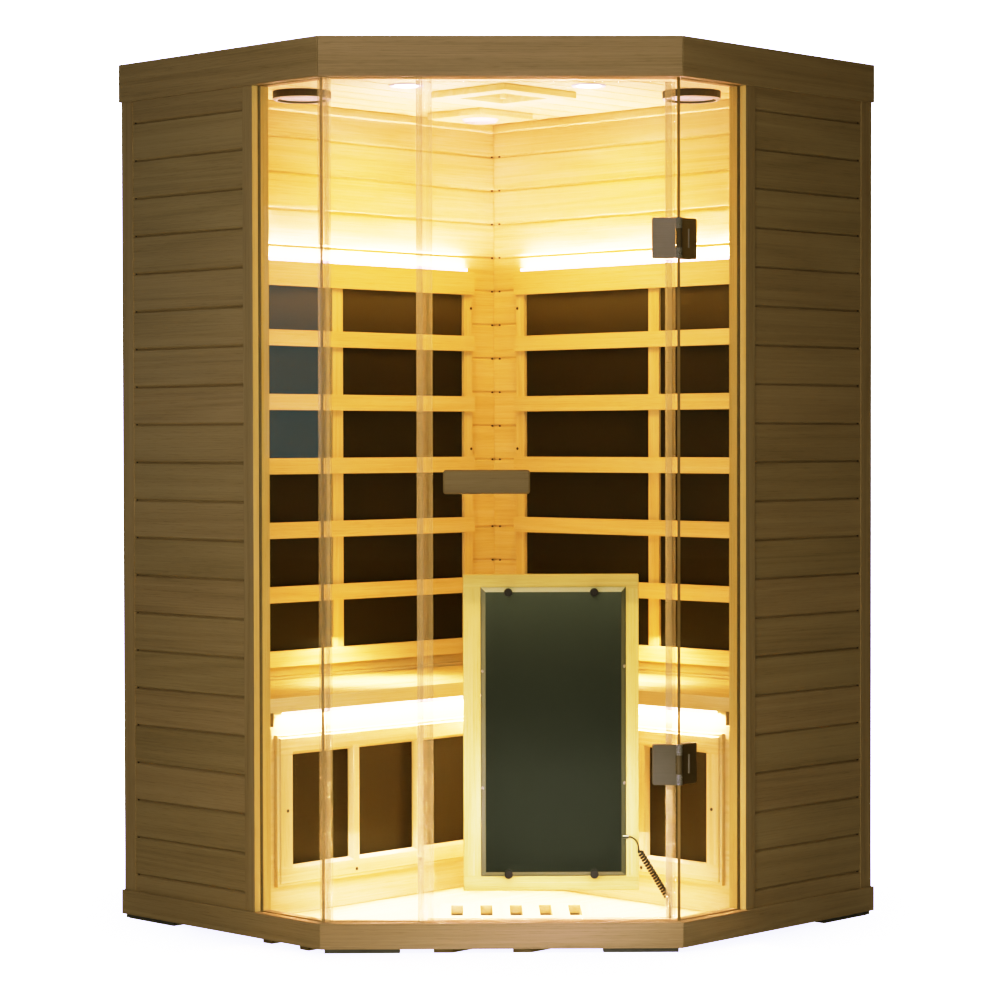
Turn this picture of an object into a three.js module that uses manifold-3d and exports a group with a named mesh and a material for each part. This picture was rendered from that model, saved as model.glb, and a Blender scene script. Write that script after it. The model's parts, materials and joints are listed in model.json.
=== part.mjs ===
// Corner infrared sauna cabin: timber walls, glazed front, hinged glass door, corner benches and heaters.
// Millimetres, +Z up, the door faces -Y. Plan places are measured from the front face, y = 0.

import * as THREE from "three";
import { mergeVertices } from "three/addons/utils/BufferGeometryUtils.js";
import Module from "manifold-3d";

const wasm = await Module();
wasm.setup();

// Overall: a square plan whose front corner is cut off by the door front
const WALL_LENGTH = 1200;
const FRONT_WIDTH = 760;
const TOTAL_HEIGHT = 1914;
const FOOT_HEIGHT = 9;
const BASE_HEIGHT = 54;
const FASCIA_HEIGHT = 84;
const FIT = 0.3;

// Timber walls and boards
const WALL_INSET = 5;
const WALL_THICKNESS = 46;
const BOARD_PITCH = 84;
const TOP_SEAM_DROP = 49;
const GROOVE_DEPTH = 5;
const GROOVE_HALF_WIDTH = 4;
const PANEL_RECESS = 2;
const REAR_POST_WIDTH = 38;
const FRONT_POST_WIDTH = 32;
const WOOD_WALL_END = 450;
const LINING_THICKNESS = 22.7;

// Glazing
const GLASS_SETBACK = 21;
const GLASS_THICKNESS = 8;
const GLASS_GROOVE_DEPTH = 10;
const GLASS_CORNER_GAP = 7;
const FIXED_GLASS_END = 217;
const DOOR_EDGE_GAP = 8;
const DOOR_TOP_GAP = 9;
const DOOR_SILL_GAP = 6;
const SEAL_WALL = 1.2;
const SEAL_LEG = 14;
const SEAL_CLEARANCE = 0.1;
const SEAL_FIN = 7;

// Door hinges, measured from the pin: along the pane, out of the pane, and up
const HINGE_PIN_SETBACK = 16;
const HINGE_UPPER_CENTRE = 1495;
const HINGE_LOWER_CENTRE = 392;
const HINGE_HEIGHT = 85;
const HINGE_PLATE_END = 56;
const HINGE_PLATE_THICKNESS = 5.7;
const HINGE_CORNER = 3.5;
const HINGE_BEVEL = 0.8;
const HINGE_BARREL_RADIUS = 6.5;
const HINGE_PIN_RADIUS = 3;
const HINGE_KNUCKLE = 40;
const HINGE_PLATE_START = 7.2;
const HINGE_INNER_START = 15;
const HINGE_STUD_PLACE = 38;
const HINGE_STUD_RISE = 22;
const STUD_RADIUS = 5;
const DOOR_PIN_GAP = 15.5;

// Pull handle
const HANDLE_WIDTH = 181;
const HANDLE_HEIGHT = 50;
const HANDLE_THICKNESS = 18;
const HANDLE_STANDOFF = 12;
const HANDLE_CENTRE_X = -30;
const HANDLE_CENTRE_Z = 986;
const HANDLE_STUD_SPACING = 110;

// Heater carried by the door
const DOOR_HEATER_X = 105;
const DOOR_HEATER_Z = 458;
const DOOR_HEATER_WIDTH = 369;
const DOOR_HEATER_HEIGHT = 666;
const DOOR_HEATER_BORDER = 32;
const TRAY_GLASS_GAP = 2;
const TRAY_SLOPE_DEPTH = 13;
const TRAY_SLOPE_INSET = 10;
const TRAY_DEPTH = 29;
const SHEET = 2;
const FRAME_GLASS_GAP = 11;
const FRAME_THICKNESS = 24;
const BOLT_SPACING_X = 180;
const BOLT_EDGE = 10;
const BOLT_CAP_RADIUS = 8;
const BOLT_CAP_HEIGHT = 6;

// Floor and its heater
const FLOOR_TOP = 39;
const FLOOR_THICKNESS = 20;
const RUNNER_WIDTH = 28;
const RUNNER_PITCH = 117.4;
const FIRST_RUNNER = 486;
const LONG_RUNNERS = 5;
const SHORT_RUNNERS = 3;
const PAD_LENGTH = 158;
const PAD_WIDTH = 28;
const GRILLE_CENTRE_X = 36;
const GRILLE_CENTRE_Y = 312;
const GRILLE_SLOTS = 5;
const GRILLE_SLOT_WIDTH = 27;
const GRILLE_SLOT_PITCH = 65;
const GRILLE_SLOT_LENGTH = 138;
const GRILLE_BORDER = 26;
const ELEMENT_THICKNESS = 7;

// Benches and the panels under them, measured inward from the rear faces
const BENCH_TOP = 517;
const BENCH_THICKNESS = 31;
const BENCH_FRONT = 450;
const KICK_FACE = 418;
const KICK_THICKNESS = 18;
const CALF_GUARD_THICKNESS = 10;
const CALF_WINDOWS = 3;
const CALF_WINDOW_WIDTH = 168;
const CALF_WINDOW_HEIGHT = 241;
const CALF_STILE = 30;
const CALF_FIRST_WINDOW = 499;
const CALF_WINDOW_LOW = 148;
const CALF_RAIL = 45;
const CALF_END_STILE = 48;
const CALF_BEAD = 7;

// Heaters behind the backs, with a slatted guard
const GUARD_START = 177;
const GUARD_END_STILE = 28;
const GUARD_BATTEN = 33;
const GUARD_COLUMN = 407;
const GUARD_LOW = 548;
const GUARD_SLAT = 37;
const GUARD_PITCH = 149;
const GUARD_ROWS = 6;
const GUARD_TOP_RAIL = 57;
const GUARD_STILE_DEPTH = 25;
const GUARD_SLAT_DEPTH = 10;
const BACK_HEATER_THICKNESS = 19;
const CALF_HEATER_THICKNESS = 9;

// Ceiling and what hangs on it
const CEILING_RISE = 30;
const CEILING_THICKNESS = 20;
const CORNICE_SIZE = 20;
const VENT_X = 15;
const VENT_Y = 515;
const VENT_FRAME = 233;
const VENT_OPENING = 140;
const VENT_SLIDER = 170;
const VENT_SLIDER_THICKNESS = 8;
const VENT_TRAVEL = 90;
const VENT_KNOB_RADIUS = 8;
const VENT_KNOB_INSET = 22;
const VENT_GUIDE = 12;
const CEILING_TRIM = 15;
const LAMP_X = -35;
const LAMP_Y = 940;
const LAMP_SIZE = 180;
const LAMP_LENS_RADIUS = 44;
const LAMP_LENS_DROP = 7;
const SPEAKER_X = 440;
const SPEAKER_Y = 512;
const SPEAKER_RADIUS = 66;
const SPEAKER_RIM = 14;
const SPEAKER_DROP = 20;
const DOWNLIGHT_X = 202;
const DOWNLIGHT_Y = 392;
const DOWNLIGHT_RADIUS = 38;
const DOWNLIGHT_CAN_RADIUS = 30;
const DOWNLIGHT_CAN_DEPTH = 34;
const POWER_BOX_WIDTH = 260;
const POWER_BOX_DEPTH = 160;
const POWER_BOX_HEIGHT = 30;
const POWER_BOX_Y = 900;

// Curly lead between the door heater and the floor
const LEAD_DIAMETER = 4.5;
const CURL_DIAMETER = 14;
const CURLS = 18;
const CURL_STEPS = 8;
const LEAD_SIDES = 5;
const CURL_START = new THREE.Vector3(298, 41, 204);
const CURL_END = new THREE.Vector3(352, 62, 106);
const GLAND_X = 357;
const GLAND_Y = 68;
const GLAND_RADIUS = 9;
const GLAND_HEIGHT = 14;

const FINISH = {
  outerWood: { color: 0x8a6a45, roughness: 0.55, metalness: 0 },
  innerWood: { color: 0xd9a557, roughness: 0.6, metalness: 0 },
  heater: { color: 0x26231e, roughness: 0.7, metalness: 0 },
  glass: { color: 0xcfd8d2, roughness: 0.05, metalness: 0 },
  seal: { color: 0xe6e2d6, roughness: 0.3, metalness: 0 },
  bronze: { color: 0x54452f, roughness: 0.35, metalness: 0.9 },
  tray: { color: 0x383a2e, roughness: 0.45, metalness: 0.6 },
  speaker: { color: 0x2c2622, roughness: 0.6, metalness: 0 },
  lens: { color: 0xfff4d8, roughness: 0.3, metalness: 0 },
  steel: { color: 0xb9b9b4, roughness: 0.4, metalness: 0.8 },
  rubber: { color: 0x15151a, roughness: 0.6, metalness: 0 },
};

// Derived places
const HALF_DIAGONAL = WALL_LENGTH * Math.SQRT1_2;
const SIDE_LENGTH = (HALF_DIAGONAL - FRONT_WIDTH / 2) * Math.SQRT2;
const DEPTH = 2 * HALF_DIAGONAL - FRONT_WIDTH / 2;
const MITRE = Math.tan(Math.PI / 8);
const RAIL_WIDTH = WALL_INSET + WALL_THICKNESS;
const LINING_FACE = RAIL_WIDTH + FIT + LINING_THICKNESS;
const BASE_TOP = FOOT_HEIGHT + BASE_HEIGHT;
const FASCIA_LOW = TOTAL_HEIGHT - FASCIA_HEIGHT;
const BENCH_LOW = BENCH_TOP - BENCH_THICKNESS;
const CEILING_LOW = FASCIA_LOW + CEILING_RISE;
const CEILING_TOP = CEILING_LOW + CEILING_THICKNESS;
const FLOOR_LOW = FLOOR_TOP - FLOOR_THICKNESS;
const GLASS_BACK = GLASS_SETBACK + GLASS_THICKNESS;
const GLASS_SPAN = [GLASS_SETBACK, GLASS_BACK];
const GLASS_SLOT = [GLASS_SETBACK - FIT, GLASS_BACK + FIT];
const HANDLE_FRONT = GLASS_SETBACK - HANDLE_STANDOFF - HANDLE_THICKNESS;
const DOOR_LOW = BASE_TOP + DOOR_SILL_GAP;
const DOOR_HIGH = FASCIA_LOW - DOOR_TOP_GAP;
const PIN_X = FRONT_WIDTH / 2 - HINGE_PIN_SETBACK * MITRE;
const PIN_ALONG_SIDE = SIDE_LENGTH - HINGE_PIN_SETBACK * MITRE;
const FIXED_EDGE_X = FIXED_GLASS_END - FRONT_WIDTH / 2;
const DOOR_SPAN = [FIXED_EDGE_X + DOOR_EDGE_GAP, PIN_X - DOOR_PIN_GAP];

// Wall lines of the plan in turn, each with the cabin on its left-hand side
const REAR_LEFT = 0;
const LEFT = 1;
const FRONT = 2;
const REAR_RIGHT = 4;
const CORNERS = [
  [0, DEPTH],
  [-HALF_DIAGONAL, DEPTH - HALF_DIAGONAL],
  [-FRONT_WIDTH / 2, 0],
  [FRONT_WIDTH / 2, 0],
  [HALF_DIAGONAL, DEPTH - HALF_DIAGONAL],
].map(([x, y]) => new THREE.Vector2(x, y));
const EDGES = CORNERS.map((start, i) => {
  const along = CORNERS[(i + 1) % CORNERS.length].clone().sub(start);
  const length = along.length();
  along.normalize();
  return { start, along, length, inward: new THREE.Vector2(-along.y, along.x) };
});

/** Where two wall lines meet, each moved inward by its own distance. */
function meet(edgeA, insetA, edgeB, insetB) {
  const a = EDGES[edgeA];
  const b = EDGES[edgeB];
  const reachA = a.inward.dot(a.start) + insetA;
  const reachB = b.inward.dot(b.start) + insetB;
  const cross = a.inward.cross(b.inward);
  const x = (reachA * b.inward.y - reachB * a.inward.y) / cross;
  const y = (a.inward.x * reachB - b.inward.x * reachA) / cross;
  return new THREE.Vector2(x, y);
}

/** The plan outline moved inward by a distance. */
function insetPlan(inset) {
  return EDGES.map((edge, i) => meet((i + EDGES.length - 1) % EDGES.length, inset, i, inset));
}

/** A matrix whose axes run along a wall line, inward and up. */
function wallFrame(edge, origin = EDGES[edge].start) {
  const { along, inward } = EDGES[edge];
  const frame = new THREE.Matrix4().makeBasis(
    new THREE.Vector3(along.x, along.y, 0),
    new THREE.Vector3(inward.x, inward.y, 0),
    new THREE.Vector3(0, 0, 1),
  );
  return frame.setPosition(origin.x, origin.y, 0);
}

/** A geometry without doubled points or empty triangles. */
function welded(geometry) {
  const bare = geometry.clone();
  bare.deleteAttribute("normal");
  bare.deleteAttribute("uv");
  const merged = mergeVertices(bare, 1e-4);
  const kept = [];
  const index = merged.index.array;
  for (let i = 0; i < index.length; i += 3) {
    const [a, b, c] = index.slice(i, i + 3);
    if (a !== b && b !== c && c !== a) {
      kept.push(a, b, c);
    }
  }
  merged.setIndex(kept);
  return merged;
}

function solidOf(geometry) {
  const { attributes, index } = welded(geometry);
  return new wasm.Manifold(
    new wasm.Mesh({
      numProp: 3,
      vertProperties: new Float32Array(attributes.position.array),
      triVerts: new Uint32Array(index.array),
    }),
  );
}

function geometryOf(solid) {
  const { vertProperties, triVerts } = solid.getMesh();
  const geometry = new THREE.BufferGeometry();
  geometry.setAttribute("position", new THREE.BufferAttribute(new Float32Array(vertProperties), 3));
  geometry.setIndex(Array.from(triVerts));
  geometry.computeVertexNormals();
  return geometry;
}

/** A body with others joined to it and others cut from it. */
function shaped(body, { plus = [], minus = [] }) {
  const joined = plus.reduce((solid, part) => solid.add(solidOf(part)), solidOf(body));
  return geometryOf(minus.reduce((solid, part) => solid.subtract(solidOf(part)), joined));
}

function common(a, b) {
  return geometryOf(solidOf(a).intersect(solidOf(b)));
}

/** The same body on the other side of the cabin's middle plane. */
function mirrored(geometry) {
  return turnedInto(geometry, new THREE.Matrix4().makeScale(-1, 1, 1));
}

/** A geometry moved by a matrix, with its faces kept outward if the matrix mirrors it. */
function turnedInto(geometry, matrix) {
  const moved = welded(geometry).applyMatrix4(matrix);
  if (matrix.determinant() < 0) {
    const index = moved.index.array;
    for (let i = 0; i < index.length; i += 3) {
      [index[i], index[i + 1]] = [index[i + 1], index[i]];
    }
  }
  moved.computeVertexNormals();
  return moved;
}

function slab([x0, x1], [y0, y1], [z0, z1]) {
  const box = new THREE.BoxGeometry(x1 - x0, y1 - y0, z1 - z0);
  return box.translate((x0 + x1) / 2, (y0 + y1) / 2, (z0 + z1) / 2);
}

function around(centre, size) {
  return [centre - size / 2, centre + size / 2];
}

/** An upright prism over a plan outline. */
function prism(outline, [low, high]) {
  const shape = new THREE.Shape(outline);
  const body = new THREE.ExtrudeGeometry(shape, { depth: high - low, bevelEnabled: false });
  return body.translate(0, 0, low);
}

/** An outline in the plane of a door or wall, given a thickness along Y. */
function upright(shape, [front, back], bevel = 0) {
  const body = new THREE.ExtrudeGeometry(shape, {
    depth: back - front - 2 * bevel,
    bevelEnabled: bevel > 0,
    bevelThickness: bevel,
    bevelSize: bevel,
    bevelOffset: -bevel,
    bevelSegments: 1,
    curveSegments: 4,
  });
  return body.rotateX(Math.PI / 2).translate(0, back - bevel, 0);
}

function roundedRectangle([x0, x1], [z0, z1], radius) {
  const shape = new THREE.Shape();
  shape.absarc(x1 - radius, z0 + radius, radius, -Math.PI / 2, 0);
  shape.absarc(x1 - radius, z1 - radius, radius, 0, Math.PI / 2);
  shape.absarc(x0 + radius, z1 - radius, radius, Math.PI / 2, Math.PI);
  shape.absarc(x0 + radius, z0 + radius, radius, Math.PI, 1.5 * Math.PI);
  return shape;
}

/** A round peg along Y. */
function peg(radius, x, z, [front, back], sides = 20) {
  const body = new THREE.CylinderGeometry(radius, radius, back - front, sides);
  return body.translate(x, (front + back) / 2, z);
}

/** A round post along Z. */
function post(radius, x, y, [low, high], sides = 24) {
  const body = new THREE.CylinderGeometry(radius, radius, high - low, sides);
  return body.rotateX(Math.PI / 2).translate(x, y, (low + high) / 2);
}

/** A body turned about an upright axis, from points of radius and height. */
function turned(profile, x, y, sides = 32) {
  const body = new THREE.LatheGeometry(
    profile.map(([radius, height]) => new THREE.Vector2(radius, height)),
    sides,
  );
  return body.rotateX(Math.PI / 2).translate(x, y, 0);
}

/** A box whose front and back rectangles differ, along Y. */
function tapered(front, frontY, back, backY) {
  const ring = ([x0, x1], [z0, z1], y) => [x0, y, z0, x1, y, z0, x1, y, z1, x0, y, z1];
  const geometry = new THREE.BufferGeometry();
  const points = [...ring(front.x, front.z, frontY), ...ring(back.x, back.z, backY)];
  geometry.setAttribute("position", new THREE.Float32BufferAttribute(points, 3));
  const faces = [0, 1, 2, 0, 2, 3, 4, 6, 5, 4, 7, 6];
  for (let i = 0; i < 4; i += 1) {
    const j = (i + 1) % 4;
    faces.push(i, i + 4, j, j, i + 4, j + 4);
  }
  geometry.setIndex(faces);
  return geometry;
}

/** Board joints at the usual pitch, from a first joint and within a span. */
function seamsWithin(first, [low, high]) {
  const margin = 2 * GROOVE_HALF_WIDTH;
  const seams = [];
  const start = first - Math.floor((first - low - margin) / BOARD_PITCH) * BOARD_PITCH;
  for (let seam = start; seam < high - margin; seam += BOARD_PITCH) {
    seams.push(seam);
  }
  return seams;
}

/** The section of a boarded panel: points across its boards and through its thickness. */
function boardSection(across, [face, back], seams, grooved) {
  const edge = (level, dip) =>
    seams.flatMap((seam) => [
      [seam - GROOVE_HALF_WIDTH, level],
      [seam, level + dip],
      [seam + GROOVE_HALF_WIDTH, level],
    ]);
  const near = grooved.face ? edge(face, GROOVE_DEPTH) : [];
  const far = grooved.back ? edge(back, -GROOVE_DEPTH).reverse() : [];
  return [[across[0], face], ...near, [across[1], face], [across[1], back], ...far, [across[0], back]];
}

/** A boarded panel standing on a wall line, with level boards. */
function boardedWall(along, across, heights, grooved) {
  const seams = seamsWithin(FASCIA_LOW - TOP_SEAM_DROP, heights);
  const section = boardSection(heights, across, seams, grooved);
  const shape = new THREE.Shape(section.map(([z, inward]) => new THREE.Vector2(inward, z)));
  return lengthways(shape, along);
}

/** A level boarded panel, with its boards along a wall line. */
function boardedDeck(along, across, heights, first, grooved) {
  const section = boardSection(across, heights, seamsWithin(first, across), grooved);
  const shape = new THREE.Shape(section.map(([inward, z]) => new THREE.Vector2(inward, z)));
  return lengthways(shape, along);
}

/** A section, drawn inward and up, drawn out along a wall line. */
function lengthways(shape, [start, end]) {
  const body = new THREE.ExtrudeGeometry(shape, { depth: end - start, bevelEnabled: false });
  const axes = new THREE.Matrix4().makeBasis(
    new THREE.Vector3(0, 1, 0),
    new THREE.Vector3(0, 0, 1),
    new THREE.Vector3(1, 0, 0),
  );
  return body.applyMatrix4(axes).translate(start, 0, 0);
}

/** A mitred rail of the base or roof ring. */
function ringRail(edge, heights) {
  const outer = insetPlan(0);
  const inner = insetPlan(RAIL_WIDTH);
  const next = (edge + 1) % EDGES.length;
  const back = EDGES[edge].along.clone().multiplyScalar(FIT);
  const outline = [
    outer[edge].clone().add(back),
    outer[next].clone().sub(back),
    inner[next].clone().sub(back),
    inner[edge].clone().add(back),
  ];
  return prism(outline, heights);
}

/** The stretch of a wall line whose rails hold fixed glass. */
function glassStretch(edge) {
  if (edge === LEFT) {
    return [WOOD_WALL_END - GLASS_GROOVE_DEPTH, SIDE_LENGTH + RAIL_WIDTH];
  }
  return edge === FRONT ? [-RAIL_WIDTH, FIXED_GLASS_END + 2 * FIT] : null;
}

function glassGroove(edge, heights) {
  const stretch = glassStretch(edge);
  return stretch ? [slab(stretch, GLASS_SLOT, heights).applyMatrix4(wallFrame(edge))] : [];
}

/** The pads under a base rail, as stretches along it. */
function padStretches(edge) {
  const { length } = EDGES[edge];
  const margin = FOOT_HEIGHT;
  const first = [margin, margin + PAD_LENGTH];
  const last = [length - margin - PAD_LENGTH, length - margin];
  return edge === LEFT ? [[2 * margin, 2 * margin + PAD_LENGTH]] : [first, last];
}

function pads(edge, spare = 0) {
  const across = [WALL_INSET - spare, WALL_INSET + PAD_WIDTH + spare];
  return padStretches(edge).map(([start, end]) =>
    slab([start - spare, end + spare], across, [0, FOOT_HEIGHT + FIT]).applyMatrix4(wallFrame(edge)),
  );
}

function baseRail(edge) {
  const groove = glassGroove(edge, [BASE_TOP - GLASS_GROOVE_DEPTH, BASE_TOP + 1]);
  const footprint = ringRail(edge, [0, BASE_TOP]);
  const feet = pads(edge).map((pad) => common(pad, footprint));
  return shaped(ringRail(edge, [FOOT_HEIGHT, BASE_TOP]), { plus: feet, minus: groove });
}

function roofRail(edge) {
  const groove = glassGroove(edge, [FASCIA_LOW - 1, FASCIA_LOW + GLASS_GROOVE_DEPTH]);
  return shaped(ringRail(edge, [FASCIA_LOW, TOTAL_HEIGHT]), { minus: groove });
}

/** Straight runners across the plan, level with a wall line, kept inside an inset outline. */
function runners(count, first, inset, heights) {
  const bounds = prism(insetPlan(inset), heights);
  return Array.from({ length: count }, (_, i) => {
    const across = around(first + i * RUNNER_PITCH, RUNNER_WIDTH);
    const bar = slab([-WALL_LENGTH, 2 * WALL_LENGTH], across, heights);
    return common(bar.applyMatrix4(wallFrame(REAR_LEFT)), bounds);
  });
}

const GRILLE_WIDTH = (GRILLE_SLOTS - 1) * GRILLE_SLOT_PITCH + GRILLE_SLOT_WIDTH + 2 * GRILLE_BORDER;
const GRILLE_LENGTH = GRILLE_SLOT_LENGTH + 2 * GRILLE_BORDER;

function floorPanel() {
  const deck = prism(insetPlan(RAIL_WIDTH + FIT), [FLOOR_LOW, FLOOR_TOP]);
  const opening = slab(
    around(GRILLE_CENTRE_X, GRILLE_WIDTH + 2 * FIT),
    around(GRILLE_CENTRE_Y, GRILLE_LENGTH + 2 * FIT),
    [FLOOR_LOW - 1, FLOOR_TOP + 1],
  );
  const firstShort = FIRST_RUNNER - SHORT_RUNNERS * RUNNER_PITCH;
  const inside = RAIL_WIDTH + 2 * FIT;
  const skids = runners(LONG_RUNNERS, FIRST_RUNNER, FOOT_HEIGHT, [0, FOOT_HEIGHT - FIT]);
  const joists = runners(LONG_RUNNERS, FIRST_RUNNER, inside, [0, FLOOR_LOW + 1]);
  const short = runners(SHORT_RUNNERS, firstShort, inside, [0, FLOOR_LOW + 1]);
  const padRoom = [REAR_LEFT, LEFT, FRONT, REAR_RIGHT].flatMap((edge) => pads(edge, 2));
  const rightPads = pads(LEFT, 2).map(mirrored);
  const elementRoom = floorElementBox(1);
  return shaped(deck, {
    plus: [...skids, ...joists, ...short],
    minus: [opening, elementRoom, ...padRoom, ...rightPads],
  });
}

function floorElementBox(spare) {
  const top = FLOOR_LOW - FIT;
  return slab(
    around(GRILLE_CENTRE_X, GRILLE_WIDTH + GRILLE_BORDER + 2 * spare),
    around(GRILLE_CENTRE_Y, GRILLE_LENGTH + GRILLE_BORDER + 2 * spare),
    [top - ELEMENT_THICKNESS - spare, top + (spare ? FIT : 0)],
  );
}

function floorGrille() {
  const board = slab(
    around(GRILLE_CENTRE_X, GRILLE_WIDTH),
    around(GRILLE_CENTRE_Y, GRILLE_LENGTH),
    [FLOOR_LOW, FLOOR_TOP],
  );
  const firstSlot = GRILLE_CENTRE_X - ((GRILLE_SLOTS - 1) / 2) * GRILLE_SLOT_PITCH;
  const slots = Array.from({ length: GRILLE_SLOTS }, (_, i) =>
    slab(
      around(firstSlot + i * GRILLE_SLOT_PITCH, GRILLE_SLOT_WIDTH),
      around(GRILLE_CENTRE_Y, GRILLE_SLOT_LENGTH),
      [FLOOR_LOW - 1, FLOOR_TOP + 1],
    ),
  );
  return shaped(board, { minus: slots });
}

/** The boarded part of a side wall, between its two posts. */
function sideWall() {
  const heights = [BASE_TOP + FIT, FASCIA_LOW - FIT];
  const rearEdge = WALL_INSET + REAR_POST_WIDTH;
  const frontEdge = WOOD_WALL_END - FRONT_POST_WIDTH;
  const faces = [WALL_INSET + PANEL_RECESS, RAIL_WIDTH - PANEL_RECESS];
  const boards = boardedWall([rearEdge - 1, frontEdge + 1], faces, heights, { face: true, back: true });
  const rearPost = slab([WALL_INSET, rearEdge], [WALL_INSET, RAIL_WIDTH], heights);
  const frontPost = slab([frontEdge, WOOD_WALL_END], [WALL_INSET, RAIL_WIDTH], heights);
  const slotStart = WOOD_WALL_END - GLASS_GROOVE_DEPTH;
  const slot = slab([slotStart, WOOD_WALL_END + 1], GLASS_SLOT, [0, TOTAL_HEIGHT]);
  const wall = shaped(boards, { plus: [rearPost, frontPost], minus: [slot] });
  return wall.applyMatrix4(wallFrame(LEFT));
}

/** A rear wall, boarded outside; one of the two runs past the other at the back corner. */
function rearWall(start) {
  const stretch = [start, WALL_LENGTH - RAIL_WIDTH - FIT];
  const heights = [BASE_TOP + FIT, FASCIA_LOW - FIT];
  const wall = boardedWall(stretch, [WALL_INSET, RAIL_WIDTH], heights, { face: true });
  return wall.applyMatrix4(wallFrame(REAR_LEFT));
}

function rearLining(start) {
  const stretch = [start, WALL_LENGTH - RAIL_WIDTH - FIT];
  const heights = [FLOOR_TOP + FIT, CEILING_LOW - FIT];
  const lining = boardedWall(stretch, [RAIL_WIDTH + FIT, LINING_FACE], heights, { back: true });
  return lining.applyMatrix4(wallFrame(REAR_LEFT));
}

function cornice() {
  const near = LINING_FACE + FIT;
  const far = near + CORNICE_SIZE;
  const heights = [CEILING_LOW - FIT - CORNICE_SIZE, CEILING_LOW - FIT];
  return prism(leftHalf([near, far]), heights);
}

/** The plan of a strip along the rear left wall, mitred at the back corner. */
function leftHalf([near, far]) {
  const side = RAIL_WIDTH + FIT;
  const backNear = meet(REAR_LEFT, near, REAR_RIGHT, near);
  const backFar = meet(REAR_LEFT, far, REAR_RIGHT, far);
  backNear.x -= FIT / 2;
  backFar.x -= FIT / 2;
  return [backNear, meet(REAR_LEFT, near, LEFT, side), meet(REAR_LEFT, far, LEFT, side), backFar];
}

const ventFrame = wallFrame(REAR_LEFT, { x: VENT_X, y: VENT_Y });
const lampFrame = wallFrame(REAR_LEFT, { x: LAMP_X, y: LAMP_Y });

function ceilingPanel() {
  const stretch = [-WALL_LENGTH, 2 * WALL_LENGTH];
  const heights = [CEILING_LOW, CEILING_TOP];
  const deck = boardedDeck(stretch, [0, 2 * WALL_LENGTH], heights, LINING_FACE + BOARD_PITCH, { face: true });
  const through = [CEILING_LOW - 1, CEILING_TOP + 1];
  const half = VENT_OPENING / 2;
  const ventHole = slab([-half, half], [-half, half], through).applyMatrix4(ventFrame);
  const lampHoles = [-DOWNLIGHT_X, DOWNLIGHT_X].map((x) =>
    post(DOWNLIGHT_CAN_RADIUS + FIT, x, DOWNLIGHT_Y, through),
  );
  const panel = common(
    deck.applyMatrix4(wallFrame(REAR_LEFT)),
    prism(insetPlan(RAIL_WIDTH + FIT), heights),
  );
  return shaped(panel, { plus: ventGuides(), minus: [ventHole, ...lampHoles] });
}

/** Two strips on the roof that the vent's slider runs between. */
function ventGuides() {
  const reach = VENT_SLIDER / 2;
  const heights = [CEILING_TOP - 1, CEILING_TOP + VENT_SLIDER_THICKNESS + 2 * FIT];
  return [-1, 1].map((side) => {
    const edges = [side * (reach + 2 * FIT), side * (reach + 2 * FIT + VENT_GUIDE)];
    const across = edges.sort((a, b) => a - b);
    return slab(across, [-reach, reach + VENT_TRAVEL], heights).applyMatrix4(ventFrame);
  });
}

function squareTrim(size, opening, frame) {
  const heights = [CEILING_LOW - FIT - CEILING_TRIM, CEILING_LOW - FIT];
  const board = slab(around(0, size), around(0, size), heights);
  const hole = slab(around(0, opening), around(0, opening), [0, TOTAL_HEIGHT]);
  return shaped(board, { minus: [hole] }).applyMatrix4(frame);
}

function ventSlider() {
  const low = CEILING_TOP + FIT;
  const heights = [low, low + VENT_SLIDER_THICKNESS];
  const panel = slab(around(0, VENT_SLIDER), around(0, VENT_SLIDER), heights);
  const place = VENT_KNOB_INSET - VENT_OPENING / 2;
  const knobEnd = CEILING_LOW - CEILING_TRIM / 2;
  const knob = post(VENT_KNOB_RADIUS, place, place, [knobEnd, low + 1]);
  return shaped(panel, { plus: [knob] }).applyMatrix4(ventFrame);
}

function lampLens() {
  const top = CEILING_LOW - FIT;
  const low = top - CEILING_TRIM - LAMP_LENS_DROP;
  const rim = LAMP_LENS_RADIUS - LAMP_LENS_DROP;
  const profile = [[0, low], [rim, low], [LAMP_LENS_RADIUS, low + LAMP_LENS_DROP], [LAMP_LENS_RADIUS, top], [0, top]];
  return turned(profile, LAMP_X, LAMP_Y);
}

function lampTrim() {
  const heights = [CEILING_LOW - FIT - CEILING_TRIM, CEILING_LOW - FIT];
  const board = slab(around(0, LAMP_SIZE), around(0, LAMP_SIZE), heights);
  const hole = post(LAMP_LENS_RADIUS + FIT, 0, 0, [0, TOTAL_HEIGHT], 32);
  return shaped(board, { minus: [hole] }).applyMatrix4(lampFrame);
}

function speaker() {
  const top = CEILING_LOW - FIT;
  const low = top - SPEAKER_DROP;
  const grille = SPEAKER_RADIUS - SPEAKER_RIM;
  const lip = SPEAKER_RIM / 4;
  const profile = [
    [0, low + lip],
    [grille, low + 2 * lip],
    [grille + lip, low],
    [SPEAKER_RADIUS - lip, low],
    [SPEAKER_RADIUS, low + lip],
    [SPEAKER_RADIUS, top],
    [0, top],
  ];
  return turned(profile, -SPEAKER_X, SPEAKER_Y);
}

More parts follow.
